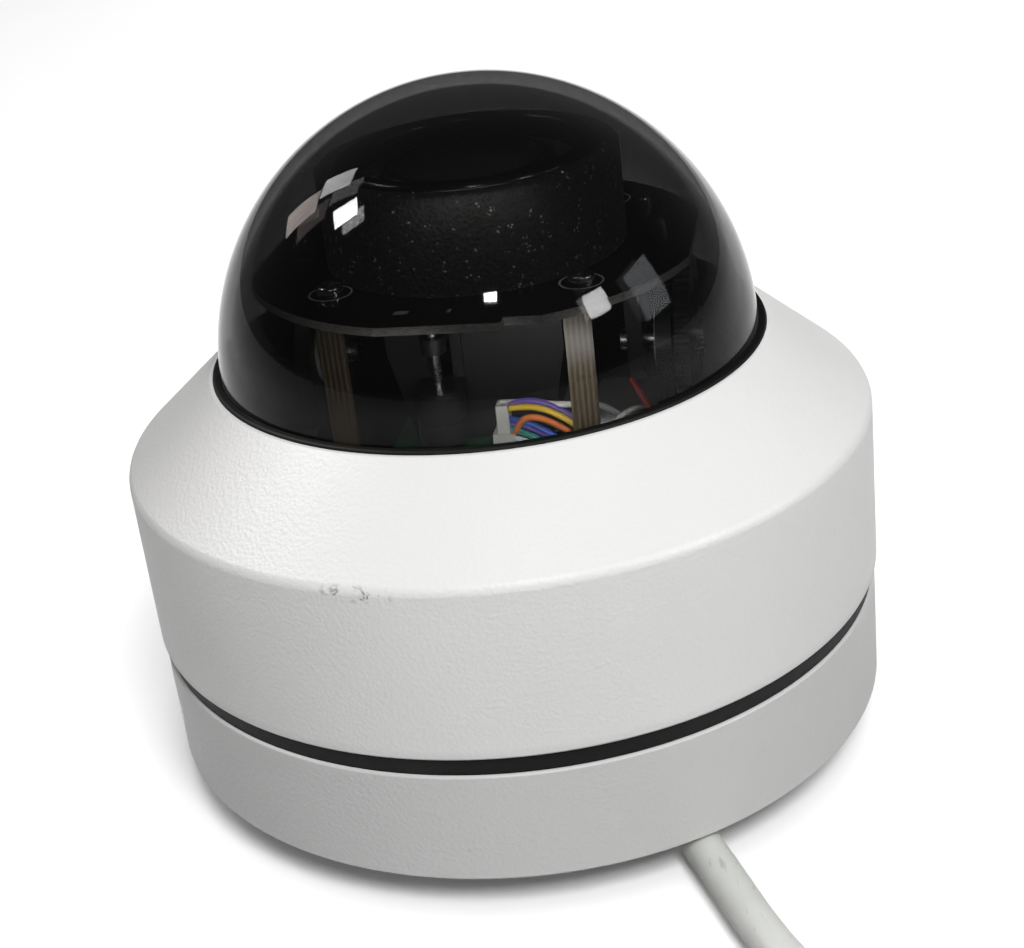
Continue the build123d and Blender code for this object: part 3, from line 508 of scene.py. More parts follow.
def metal(name, rgb, rough, direction="Z"):
    """Bare or plated metal with fine turning lines and a few stains."""
    f = Finish(name)
    stretch = {"X": (60, 2400, 2400), "Y": (2400, 60, 2400), "Z": (700, 700, 2400)}[direction]
    lines_at = f.node("ShaderNodeMapping", None, {"Vector": f.place, "Scale": stretch}, "Vector")
    lines = f.noise(1.0, 2.0, 0.5, lines_at)
    stain = f.noise(120, 4.0, 0.6).low_cut(0.5, 0.8)
    dull = colour(*(c * 0.72 for c in rgb))
    f.feed(Base_Color=f.mix(stain, colour(*rgb), dull), Metallic=1.0,
           Roughness=lines * 0.18 + stain * 0.15 + (rough - 0.06), Normal=f.bump(lines, 0.12, 0.00004))
    return f


# %% [markdown]
# The dome is smoked plastic. Light goes through both its walls, so each wall passes about half, and
# what lies inside looks far darker than it is. Seen along the wall it passes almost nothing and
# mirrors the room, so the rim of the dome looks pale: the shader mirrors part of it, and the rest is
# a painted reflection, a paler colour painted towards the dome's outline.

# %% Clear finishes
def smoked(name):
    f = Finish(name)
    edge = f.node("ShaderNodeLayerWeight", None, {"Blend": 0.5}, "Facing")
    haze = f.noise(35, 4.0, 0.6)
    dust = f.cells(210).low_cut(0.05, 0.02) * f.noise(90, 2.0).low_cut(0.58, 0.64)
    # Painted reflection: the colour turns pale towards the outline, where the wall is seen along; the pale specks
    # are real dust.
    body = f.mix(dust * 0.5 + (edge ** 5.0) * 0.45, colour(0.004, 0.004, 0.004), colour(0.45, 0.45, 0.44))
    f.feed(Base_Color=body, Roughness=haze * 0.03 + dust * 0.3 + 0.01,
           Alpha=((edge ** 2.0) * 0.50 + dust * 0.2 + 0.54).math("MINIMUM", 1.0))
    f.feed(IOR=1.5, Specular_IOR_Level=0.13)
    return f


def coated_glass(name):
    f = Finish(name)
    edge = f.node("ShaderNodeLayerWeight", None, {"Blend": 0.35}, "Facing")
    dust = f.noise(300, 4.0, 0.6).low_cut(0.62, 0.8)
    # Painted reflection: the glass turns from brown face on to purple towards its outline, the tint its coating
    # reflects.
    body = f.mix(edge, colour(0.10, 0.085, 0.075), colour(0.06, 0.04, 0.07))
    f.feed(Base_Color=f.mix(dust * 0.2, body, colour(0.3, 0.3, 0.3)), Roughness=dust * 0.15 + 0.06)
    f.feed(IOR=1.6, Coat_Weight=0.6, Coat_Roughness=0.02)
    return f


# %% [markdown]
# The lamp board has black solder mask with a white printed ring round each screw, and a rough grey
# edge where it was routed out. The rings are drawn by distance from the screws' centres.

# %% Circuit board finishes
LED_SCREWS = [(-23.0, -23.5), (23.0, -23.5), (-23.0, 23.5), (23.0, 23.5)]


def board_mask(name):
    f = Finish(name)
    turned = f.node("ShaderNodeMapping", {"vector_type": "TEXTURE"},
                    {"Vector": f.place, "Rotation": (0, 0, park)}, "Vector")
    x, y = f.axis("X", turned), f.axis("Y", turned)
    rings = None
    for cx, cy in LED_SCREWS:
        away = ((x - cx * MM) ** 2.0 + (y - cy * MM) ** 2.0).math("SQRT")
        ring = (away - 3.9 * MM).math("ABSOLUTE").low_cut(0.00022, 0.00012)
        rings = ring if rings is None else rings.math("MAXIMUM", ring)
    tick_row = (y + 35.2 * MM).math("ABSOLUTE").low_cut(0.0009, 0.0008)
    tick_span = (x + 3.5 * MM).math("ABSOLUTE").low_cut(0.0052, 0.0050)
    ticks = tick_row * tick_span * (x * 620.0).math("SINE").low_cut(0.45, 0.7)
    traces = (f.cells(170, "DISTANCE_TO_EDGE", turned).low_cut(0.08, 0.03)) * 0.35
    base = f.mix(traces, colour(0.006, 0.006, 0.007), colour(0.014, 0.014, 0.014))
    print_mask = rings.math("MAXIMUM", ticks * 0.6) * f.noise(1500, 2.0).low_cut(0.25, 0.45)
    f.feed(Base_Color=f.mix(print_mask, base, colour(0.75, 0.75, 0.74)), Roughness=print_mask * 0.3 + 0.22,
           Normal=f.bump(traces + f.noise(1400, 2.0) * 0.3, 0.25, 0.00005))
    return f


def board_edge(name, rgb=(0.80, 0.76, 0.72)):
    f = Finish(name)
    fibre_at = f.node("ShaderNodeMapping", None, {"Vector": f.place, "Scale": (900, 900, 5200)}, "Vector")
    fibre = f.noise(1.0, 4.0, 0.65, fibre_at)
    dark = colour(*(c * 0.45 for c in rgb))
    f.feed(Base_Color=f.mix(fibre.low_cut(0.35, 0.65), dark, colour(*rgb)), Roughness=0.85,
           Normal=f.bump(fibre, 0.8, 0.00012))
    return f


def green_board(name):
    f = Finish(name)
    traces = f.cells(150, "DISTANCE_TO_EDGE").low_cut(0.10, 0.04)
    pads = f.cells(260).low_cut(0.10, 0.06)
    base = f.mix(traces, colour(0.010, 0.075, 0.030), colour(0.02, 0.13, 0.05))
    f.feed(Base_Color=f.mix(pads * 0.8, base, colour(0.6, 0.58, 0.5)), Roughness=pads * -0.1 + 0.32,
           Normal=f.bump(traces + pads, 0.3, 0.00005))
    return f


# %% [markdown]
# The lead's jacket is off-white with greasy smudges and fine scratches along it. The flat ribbons are
# brownish film with copper lines that show through.

# %% Lead and ribbon finishes
def jacket(name):
    f = Finish(name)
    slow = f.noise(38, 4.0, 0.6)
    smudge = f.noise(85, 5.0, 0.7).low_cut(0.55, 0.72) * f.noise(22, 2.0).low_cut(0.48, 0.62)
    scratch_at = f.node("ShaderNodeMapping", None, {"Vector": f.place, "Scale": (1600, 130, 1600)}, "Vector")
    scratch = f.noise(1.0, 3.0, 0.6, scratch_at).low_cut(0.64, 0.70)
    base = f.mix(slow.low_cut(0.35, 0.7), colour(0.72, 0.73, 0.70), colour(0.62, 0.635, 0.60))
    dirty = f.mix(smudge * 0.6, base, colour(0.20, 0.155, 0.10))
    f.feed(Base_Color=f.mix(scratch * 0.4, dirty, colour(0.25, 0.24, 0.22)),
           Roughness=slow * 0.2 + smudge * 0.1 + 0.42,
           Normal=f.bump(f.noise(700, 3.0) + scratch * 0.5, 0.3, 0.00012))
    return f


def ribbon_film(name):
    f = Finish(name)
    turned = f.node("ShaderNodeMapping", {"vector_type": "TEXTURE"},
                    {"Vector": f.place, "Rotation": (0, 0, park)}, "Vector")
    lines = (f.axis("X", turned) * (2 * math.pi / 0.001)).math("SINE").low_cut(-0.2, 0.4)
    film = f.mix(lines, colour(0.045, 0.033, 0.018), colour(0.11, 0.085, 0.048))
    f.feed(Base_Color=film, Roughness=f.noise(200, 3.0) * 0.2 + 0.22, Normal=f.bump(lines, 0.3, 0.00006))
    return f


def insulation(name, rgb):
    return moulded(name, rgb, 0.34, 1800, 0.00003)


# %% [markdown]
# ## Finish for each engineering piece
# The record names a material slot for every piece. One finish is made per slot, and each engineering
# piece that stays gets the finish of its slot.

# %% Table of finishes
white_coat = powder_coat("white_coat", 0.80, scuffed=True)
finishes = {
    "white_coat": white_coat,
    "bracket_paint": powder_coat("bracket_paint", 0.72),
    "stainless": metal("stainless", (0.62, 0.61, 0.60), 0.30),
    "screw_steel": metal("screw_steel", (0.62, 0.62, 0.64), 0.20),
    "seal_rubber": rubber("seal_rubber", 0.006),
    "smoked_dome": smoked("smoked_dome"),
    "black_plate": moulded("black_plate", (0.012, 0.012, 0.012), 0.38),
    "black_plastic": moulded("black_plastic", (0.010, 0.010, 0.010), 0.45),
    "zinc_plate": metal("zinc_plate", (0.42, 0.43, 0.44), 0.38, "X"),
    "bearing_plastic": moulded("bearing_plastic", (0.55, 0.53, 0.48), 0.35),
    "motor_can": metal("motor_can", (0.36, 0.36, 0.37), 0.30),
    "brass_gear": metal("brass_gear", (0.55, 0.40, 0.16), 0.30),
    "green_board": green_board("green_board"),
    "chip_black": moulded("chip_black", (0.018, 0.018, 0.018), 0.55),
    "bright_shell": metal("bright_shell", (0.65, 0.65, 0.66), 0.25, "Y"),
    "card_black": moulded("card_black", (0.012, 0.012, 0.013), 0.45),
    "button_plastic": moulded("button_plastic", (0.34, 0.34, 0.34), 0.35),
    "boot_rubber": rubber("boot_rubber", 0.50, (1, 1.02, 0.94)),
    "cable_jacket": jacket("cable_jacket"),
    "white_gear": moulded("white_gear", (0.55, 0.55, 0.50), 0.45),
    "black_gear": moulded("black_gear", (0.02, 0.02, 0.02), 0.42),
    "turned_steel": metal("turned_steel", (0.60, 0.60, 0.61), 0.22),
    "black_board": board_mask("black_board"),
    "emitter_resin": moulded("emitter_resin", (0.030, 0.016, 0.026), 0.16, coat=0.6),
    "sponge": sponge("sponge"),
    "bezel_gloss": moulded("bezel_gloss", (0.008, 0.008, 0.008), 0.19, 500, 0.00002, coat=0.5),
    "lens_black": moulded("lens_black", (0.011, 0.011, 0.012), 0.34),
    "lens_glass": coated_glass("lens_glass"),
    "motor_black": moulded("motor_black", (0.016, 0.016, 0.016), 0.30),
    "connector_white": moulded("connector_white", (0.58, 0.58, 0.53), 0.38),
    "ribbon_film": ribbon_film("ribbon_film"),
}
slot_of = {s["node"]: s["material_slot"] for s in frame["record"]["subparts"]}
for node_name, piece in frame["nodes"].items():
    paint(piece, finishes[slot_of[node_name]])
print("finishes", len(finishes), "for", len(slot_of), "pieces")

# %% [markdown]
# ## The stage and the lamps
# The object stands on a pale floor in a bright, even room, so the white shell has hardly any shadow.
# The floor is one large sheet of pale paper, a little uneven so that it doesn't look drawn.

# %% Floor
clear_selection()
bpy.ops.mesh.primitive_plane_add(size=14, location=(0, 0, 0))
floor = new_piece("floor")
floor_finish = Finish("floor_paper")
paper = floor_finish.noise(9, 3.0)
floor_finish.feed(Base_Color=floor_finish.mix(paper, colour(0.94, 0.94, 0.94), colour(0.97, 0.97, 0.97)),
                  Roughness=0.9, Normal=floor_finish.bump(paper, 0.05, 0.0005))
paint(floor, floor_finish)
floor.visible_diffuse = False

# %% [markdown]
# The key lamp is above and in front, and a weaker one behind fills the far side. Their light is soft,
# so their outlines are hidden from polished pieces. Six small panels do the opposite: they light
# nothing, and the dome mirrors each of them as a crisp spot. Each is placed by following the camera's
# ray off the dome, as a billiard ball leaves a cushion.

# %% Lamps
world = bpy.data.worlds.new("room")
bpy.context.scene.world = world
world.use_nodes = True
world.node_tree.nodes["Background"].inputs["Color"].default_value = colour(1, 1, 1)
world.node_tree.nodes["Background"].inputs["Strength"].default_value = 0.20
world.cycles_visibility.glossy = False
bpy.context.scene.view_settings.view_transform = "Standard"


def lamp(name, place, aim, size, power, tint=(1, 1, 1), size_y=None):
    data = bpy.data.lights.new(name, "AREA")
    data.shape = "RECTANGLE"
    data.size = size
    data.size_y = size_y or size
    data.energy = power
    data.color = tint
    item = bpy.data.objects.new(name, data)
    bpy.context.scene.collection.objects.link(item)
    item.location = place
    item.rotation_euler = (Vector(aim) - Vector(place)).to_track_quat("-Z", "Y").to_euler()
    return item


def soft(item):
    """A soft lamp lights the object, but polished pieces don't show its outline."""
    item.visible_glossy = False
    item.visible_camera = False
    return item


middle = (0, 0, 0.07)
KEY_TURN = math.radians(15)
KEY_RISE = math.radians(47)
KEY_DISTANCE = 1.25
PANEL_DISTANCE = 0.8
key_way = Vector((math.sin(KEY_TURN) * math.cos(KEY_RISE), -math.cos(KEY_TURN) * math.cos(KEY_RISE),
                  math.sin(KEY_RISE)))
soft(lamp("key", Vector(middle) + key_way * KEY_DISTANCE, middle, 0.45, 14.2))
soft(lamp("back_fill", (0.45, 1.20, 0.70), middle, 0.8, 6.0))


def panel_seen_at(name, spot, size, size_y, power, tint):
    """Place a panel where the dome mirrors it into the camera at a spot on the dome's surface."""
    centre = Vector((0, 0, dome_centre))
    normal = (Vector(spot) - centre).normalized()
    point = centre + normal * DOME_R
    view = (point - camera.matrix_world.translation).normalized()
    out = view - 2 * view.dot(normal) * normal
    item = lamp(name, point + out * PANEL_DISTANCE, point, size, power, tint, size_y)
    item.visible_diffuse = False
    return item


# name, spot on the dome, width, height, watts, tint
WHITE = (1, 1, 1)
PANELS = [
    ("window", (-0.0218, -0.0284, 0.1193), 0.11, 0.13, 5.0, WHITE),
    ("window_glow", (-0.0227, -0.0217, 0.1229), 0.10, 0.16, 0.9, WHITE),
    ("window_left", (-0.0298, -0.0217, 0.1182), 0.12, 0.18, 0.7, (1.0, 0.86, 0.82)),
    ("screen", (0.0190, -0.0435, 0.1030), 0.15, 0.13, 4.0, WHITE),
    ("side_screen", (0.0283, -0.0383, 0.1027), 0.22, 0.26, 1.3, (0.9, 0.95, 1.0)),
    ("flash", (0.0013, -0.0454, 0.1071), 0.07, 0.055, 4.0, WHITE),
]
for panel in PANELS:
    panel_seen_at(*panel)
print("lamps", len(bpy.data.lights))

# %% [markdown]
# ## The upper housing
# On the real object this is one die casting: a short drum that turns into a cone and ends in a thin
# rim round the dome. Its outline is traced on the lathe. The shoulder between drum and cone is a
# rounded corner of 2.5 mm, which edit mode's bevel makes on that one ring of edges.

# %% Upper housing
HOUSING_R = 73.0 * MM
HOUSING_INNER_R = 70.0 * MM
SHOULDER_Z = 67.0 * MM
RIM_R = 54.45 * MM
RIM_Z = 82.8 * MM
RIM_BORE_R = 53.8 * MM
LEDGE_Z = 76.0 * MM
SHOULDER_BEVEL = 1.16 * MM
CONE_FOOT_R = 57.5 * MM
CONE_FOOT_Z = 65.4 * MM
FOOT_BEVEL = 0.5 * MM
RIM_BEVEL = 0.22 * MM

shell_outline = [(HOUSING_INNER_R, housing_foot), (HOUSING_R, housing_foot), (HOUSING_R, SHOULDER_Z),
                 (RIM_R, RIM_Z), (RIM_BORE_R, RIM_Z), (RIM_BORE_R, LEDGE_Z), (CONE_FOOT_R, LEDGE_Z),
                 (HOUSING_INNER_R, CONE_FOOT_Z)]
housing_shell = lathe("housing_shell", shell_outline, segments=192)


def bevel_ring(piece, radius, height, offset, segments):
    """Round one ring of edges, picked by its radius and height."""
    make_active(piece)
    bpy.ops.object.mode_set(mode="EDIT")
    pick(piece, lambda e: all(abs(math.hypot(v.co.x, v.co.y) - radius) < 1e-5 and abs(v.co.z - height) < 1e-5
                              for v in e.verts), "EDGE")
    bpy.ops.mesh.bevel(offset=offset, segments=segments, profile=0.5)
    bpy.ops.object.mode_set(mode="OBJECT")


bevel_ring(housing_shell, HOUSING_R, SHOULDER_Z, SHOULDER_BEVEL, 6)
bevel_ring(housing_shell, HOUSING_R, housing_foot, FOOT_BEVEL, 3)
bevel_ring(housing_shell, RIM_R, RIM_Z, RIM_BEVEL, 2)
shade(housing_shell)
paint(housing_shell, white_coat)
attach(housing_shell, "housing")
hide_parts("upper_housing")
print("housing shell", len(housing_shell.data.polygons), "faces")

# %% [markdown]
# ## The seal between base and housing
# A black rubber ring is squeezed between the two white castings. It lies a little behind them and
# bulges slightly, so the outline goes out at half height.

# %% Seal
SEAL_R = 72.0 * MM
SEAL_IN = 66.0 * MM
SEAL_EDGE_R = SEAL_R - 0.15 * MM
SEAL_BEVEL = 0.9 * MM
seal_mid = (seal_low.z + seal_high.z) / 2
seal_ring = lathe("seal_ring", [(SEAL_IN, seal_low.z), (SEAL_EDGE_R, seal_low.z), (SEAL_R, seal_mid),
                                (SEAL_EDGE_R, seal_high.z), (SEAL_IN, seal_high.z)], segments=160)
bevel_ring(seal_ring, SEAL_R, seal_mid, SEAL_BEVEL, 5)
shade(seal_ring)
paint(seal_ring, finishes["seal_rubber"])
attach(seal_ring, "housing")
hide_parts("base_seal")

# %% [markdown]
# ## The gasket round the dome
# A thin rubber lip closes the gap between the dome and the rim, and stands just above the rim.

# %% Gasket
GASKET_IN = 52.35 * MM
GASKET_OUT = 53.75 * MM
GASKET_FLANGE_R = 55.5 * MM
GASKET_BEVEL = 0.6 * MM
gasket_ring = lathe("gasket_ring", [(GASKET_IN, gasket_low.z), (GASKET_FLANGE_R, gasket_low.z),
                                    (GASKET_FLANGE_R, LEDGE_Z),
                                    (GASKET_OUT, LEDGE_Z), (GASKET_OUT, gasket_high.z),
                                    (GASKET_IN, gasket_high.z)], segments=160)
bevel_ring(gasket_ring, GASKET_OUT, gasket_high.z, GASKET_BEVEL, 4)
shade(gasket_ring)
paint(gasket_ring, finishes["seal_rubber"])
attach(gasket_ring, "housing")
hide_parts("dome_gasket")

# %% [markdown]
# ## The smoked dome
# The real dome is moulded in one piece: half a sphere, a short straight skirt and a flange that is
# clamped. Two spheres are cut in half, one for each face of the wall. The outer one is extruded down
# its skirt, out and in round the flange, and up to meet the inner one.

# %% Dome
DOME_IN = 49.8 * MM
FLANGE_R = 55.5 * MM
FLANGE_T = 2.0 * MM


def half_sphere(name, radius):
    clear_selection()
    bpy.ops.mesh.primitive_uv_sphere_add(segments=128, ring_count=64, radius=radius, location=(0, 0, dome_centre))
    piece = new_piece(name)
    settle(piece)
    bpy.ops.object.mode_set(mode="EDIT")
    bpy.ops.mesh.select_all(action="SELECT")
    bpy.ops.mesh.bisect(plane_co=(0, 0, dome_centre), plane_no=(0, 0, 1), clear_inner=True, threshold=1e-6)
    bpy.ops.object.mode_set(mode="OBJECT")
    return piece


dome = half_sphere("smoked_dome_shell", DOME_R)
make_active(dome)
bpy.ops.object.mode_set(mode="EDIT")
pick(dome, lambda e: all(abs(v.co.z - dome_centre) < 1e-6 for v in e.verts), "EDGE")
at_r, at_z = DOME_R, dome_centre
for r, z in [(DOME_R, dome_low.z + FLANGE_T), (FLANGE_R, dome_low.z + FLANGE_T), (FLANGE_R, dome_low.z),
             (DOME_IN, dome_low.z), (DOME_IN, dome_centre)]:
    bpy.ops.mesh.extrude_edges_move(TRANSFORM_OT_translate={"value": (0, 0, z - at_z)})
    bpy.ops.transform.resize(value=(r / at_r, r / at_r, 1), center_override=(0, 0, 0))
    at_r, at_z = r, z
bpy.ops.object.mode_set(mode="OBJECT")
dome = join_into("smoked_dome_shell", [dome, half_sphere("dome_inside", DOME_IN)])
face_out(dome)
shade(dome)
paint(dome, finishes["smoked_dome"])
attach(dome, "housing")
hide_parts("dome_cover")
print("dome", len(dome.data.polygons), "faces")

# %% [markdown]
# ## The lamp board
# The flat board is a disc with its sides, front and back cut straight and a shallow step at the front
# right. The top shows black solder mask, and the routed edge shows pale fibre, so the two get their own
# finishes by which way a face points.

# %% Lamp board
BOARD_TOP = board_height - tilt_z
BOARD_T = 1.6 * MM
BOARD_R = 43.3 * MM
BOARD_SIDE = 41.3 * MM
BOARD_FRONT = 42.0 * MM
BOARD_BACK = 36.0 * MM
STEP_X = 11.5 * MM
STEP_DEPTH = 2.6 * MM
LENS_HOLE_R = 16.6 * MM
BOARD_BEVEL = 0.12 * MM
BEYOND = 60 * MM
THROUGH = 0.01


def subtract(piece, cutter):
    """Cut one piece away from another with a Boolean modifier, then remove the cutter."""
    modifier = piece.modifiers.new("cut", "BOOLEAN")
    modifier.operation = "DIFFERENCE"
    modifier.solver = "EXACT"
    modifier.object = cutter
    make_active(piece)
    bpy.ops.object.modifier_apply(modifier=modifier.name)
    bpy.data.objects.remove(cutter)


clear_selection()
bpy.ops.mesh.primitive_cylinder_add(vertices=160, radius=BOARD_R, depth=BOARD_T,
                                    location=(0, 0, BOARD_TOP - BOARD_T / 2))
lamp_board = new_piece("lamp_board")
settle(lamp_board)
bpy.ops.object.mode_set(mode="EDIT")
for co, no in [((BOARD_SIDE, 0, 0), (1, 0, 0)), ((-BOARD_SIDE, 0, 0), (-1, 0, 0)),
               ((0, -BOARD_FRONT, 0), (0, -1, 0)), ((0, BOARD_BACK, 0), (0, 1, 0))]:
    bpy.ops.mesh.select_all(action="SELECT")
    bpy.ops.mesh.bisect(plane_co=co, plane_no=no, use_fill=True, clear_outer=True)
bpy.ops.object.mode_set(mode="OBJECT")
subtract(lamp_board, box_piece("step", (STEP_X, -BEYOND, BOARD_TOP - THROUGH),
                               (BEYOND, STEP_DEPTH - BOARD_FRONT, BOARD_TOP + THROUGH)))
clear_selection()
bpy.ops.mesh.primitive_cylinder_add(vertices=96, radius=LENS_HOLE_R, depth=THROUGH, location=(0, 0, BOARD_TOP))
hole = new_piece("hole")
settle(hole)
subtract(lamp_board, hole)
soften(lamp_board, BOARD_BEVEL, 2, 50)
turn_with_head(lamp_board)
face_out(lamp_board)
shade(lamp_board)
paint(lamp_board, finishes["black_board"], board_edge("routed_edge"))
for face in lamp_board.data.polygons:
    face.material_index = 0 if abs(face.normal.z) > 0.6 else 1
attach(lamp_board, "camera_head")
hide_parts("led_board")
print("lamp board", len(lamp_board.data.polygons), "faces")

# %% [markdown]
# ## Sponge, bezel and lens
# A drum of black sponge keeps stray lamp light from the lens. In it stands a glossy bezel, and in the
# bezel a flat ring of sponge round the head of the lens. All are turned parts, so all come off the
# lathe, drawn with the tilt axis at the origin.

# %% Sponge drum
FOAM_R = 28.6 * MM
FOAM_IN = 25.0 * MM
FOAM_BEVEL = 0.8 * MM
FOAM_TOP = foam_height - tilt_z
foam_drum = lathe("sponge_drum", [(FOAM_IN, BOARD_TOP), (FOAM_R, BOARD_TOP), (FOAM_R, FOAM_TOP),
                                  (FOAM_IN, FOAM_TOP)], segments=128)
bevel_ring(foam_drum, FOAM_R, FOAM_TOP, FOAM_BEVEL, 4)
turn_with_head(foam_drum)
shade(foam_drum)
paint(foam_drum, finishes["sponge"])
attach(foam_drum, "camera_head")
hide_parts("foam_shield")

# %% [markdown]
# The bezel is a glossy ring with both its top edges well rounded, so each shows a thin bright line.

# %% Bezel
BEZEL_R = 24.8 * MM
BEZEL_IN = 21.4 * MM
BEZEL_BEVEL = 1.5 * MM
BEZEL_TOP = bezel_height - tilt_z
bezel = lathe("glossy_bezel", [(BEZEL_IN, BOARD_TOP), (BEZEL_R, BOARD_TOP), (BEZEL_R, BEZEL_TOP),
                               (BEZEL_IN, BEZEL_TOP)], segments=128)
bevel_ring(bezel, BEZEL_R, BEZEL_TOP, BEZEL_BEVEL, 6)
bevel_ring(bezel, BEZEL_IN, BEZEL_TOP, BEZEL_BEVEL, 6)
turn_with_head(bezel)
shade(bezel)
paint(bezel, finishes["bezel_gloss"])
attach(bezel, "camera_head")
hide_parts("lens_bezel")

# %% [markdown]
# A flat ring of the same sponge fills the space between the bezel and the lens.

# %% Inner sponge
INNER_FOAM_R = 21.2 * MM
INNER_FOAM_IN = 16.5 * MM
INNER_FOAM_TOP = inner_foam_height - tilt_z
INNER_FOAM_BEVEL = 0.4 * MM
inner_ring = lathe("sponge_ring", [(INNER_FOAM_IN, BOARD_TOP), (INNER_FOAM_R, BOARD_TOP),
                                   (INNER_FOAM_R, INNER_FOAM_TOP), (INNER_FOAM_IN, INNER_FOAM_TOP)])
soften(inner_ring, INNER_FOAM_BEVEL, 3)
turn_with_head(inner_ring)
shade(inner_ring)
paint(inner_ring, finishes["sponge"])
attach(inner_ring, "camera_head")
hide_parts("inner_foam")

# %% [markdown]
# The front glass is a short cylinder with a bulging face. The bulge is part of a large sphere, whose
# radius follows from the glass's own radius and the rise of its face.

# %% Front glass
GLASS_R = 14.4 * MM
GLASS_EDGE_H = 2.9 * MM
GLASS_RISE = 2.0 * MM
glass_base = glass_low.z - tilt_z
bulge_r = (GLASS_R ** 2 + GLASS_RISE ** 2) / (2 * GLASS_RISE)
glass_outline = [(GLASS_R, glass_base), (GLASS_R, glass_base + GLASS_EDGE_H)]
for i in range(1, 11):
    r = GLASS_R * (1 - i / 10)
    glass_outline.append((r, glass_base + GLASS_EDGE_H + GLASS_RISE - bulge_r + math.sqrt(bulge_r ** 2 - r ** 2)))
front_glass = lathe("front_glass", glass_outline, segments=96, closed=False)
make_active(front_glass)
bpy.ops.object.mode_set(mode="EDIT")
pick(front_glass, lambda e: all(abs(v.co.z - glass_base) < 1e-6 for v in e.verts), "EDGE")
bpy.ops.mesh.edge_face_add()
bpy.ops.object.mode_set(mode="OBJECT")
face_out(front_glass)
turn_with_head(front_glass)
shade(front_glass, 25)
paint(front_glass, finishes["lens_glass"])
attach(front_glass, "camera_head")
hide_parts("front_lens")
print("glass top", round(glass_high.z, 4))

# %% [markdown]
# ## Flat ribbons
# Two flat cables run from the lamp board down to the turntable. Film is far thinner than it is wide,
# so each is a plane cut into many short rows, thickened at the end.

# %% Ribbons
RIBBON_X = 22.5 * MM
RIBBON_Y = -29.0 * MM
RIBBON_W = 5.0 * MM
RIBBON_T = 0.3 * MM
RIBBON_BOW = 0.9 * MM
RIBBON_FOOT_STEP = 3.0 * MM
RIBBON_CUTS = 24


def ribbon(side):
    low, high = ribbon_low.z - tilt_z, ribbon_high.z - tilt_z
    clear_selection()
    bpy.ops.mesh.primitive_plane_add(size=1, location=(side * RIBBON_X, RIBBON_Y, (low + high) / 2),
                                     rotation=(math.pi / 2, 0, 0))
    piece = new_piece("flat_ribbon")
    piece.scale = (RIBBON_W, high - low, 1)
    settle(piece)
    bpy.ops.object.mode_set(mode="EDIT")
    bpy.ops.mesh.subdivide(number_cuts=RIBBON_CUTS)
    pick(piece, lambda e: all(abs(v.co.z - low) < 1e-6 for v in e.verts), "EDGE")
    for step in range(4):
        bpy.ops.mesh.extrude_edges_move(TRANSFORM_OT_translate={"value": (0, RIBBON_FOOT_STEP, 0)})
    bpy.ops.object.mode_set(mode="OBJECT")
    for vertex in piece.data.vertices:
        along = (vertex.co.z - low) / (high - low)
        vertex.co.y -= RIBBON_BOW * math.sin(along * math.pi) * (1 if side > 0 else 0.6)
    add_modifier(piece, "SOLIDIFY", thickness=RIBBON_T, offset=0)
    return piece


ribbons = join_into("flat_ribbons", [ribbon(-1), ribbon(1)])
turn_with_head(ribbons)
face_out(ribbons)
shade(ribbons, 50)
paint(ribbons, finishes["ribbon_film"])
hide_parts("flex_ribbons")
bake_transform(ribbons)

# %% [markdown]
# ## Loose wires
# A white plug sits in the wire socket on the sensor board. It is a box whose top is inset and pushed
# in, as the mouth of a moulded plug is.

# %% Plug
PLUG_LOW = (4.5 * MM, -22.8 * MM, -11.8 * MM)
PLUG_HIGH = (6.9 * MM, -19.4 * MM, -3.4 * MM)
plug = box_piece("wire_plug", PLUG_LOW, PLUG_HIGH)
make_active(plug)
bpy.ops.object.mode_set(mode="EDIT")
pick(plug, lambda f: f.normal.z > 0.9)
bpy.ops.mesh.inset(thickness=0.5 * MM)
bpy.ops.mesh.extrude_region_move(TRANSFORM_OT_translate={"value": (0, 0, -0.6 * MM)})
bpy.ops.object.mode_set(mode="OBJECT")
soften(plug, 0.25 * MM, 2)
turn_with_head(plug)
shade(plug)
paint(plug, finishes["connector_white"])
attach(plug, "camera_head")
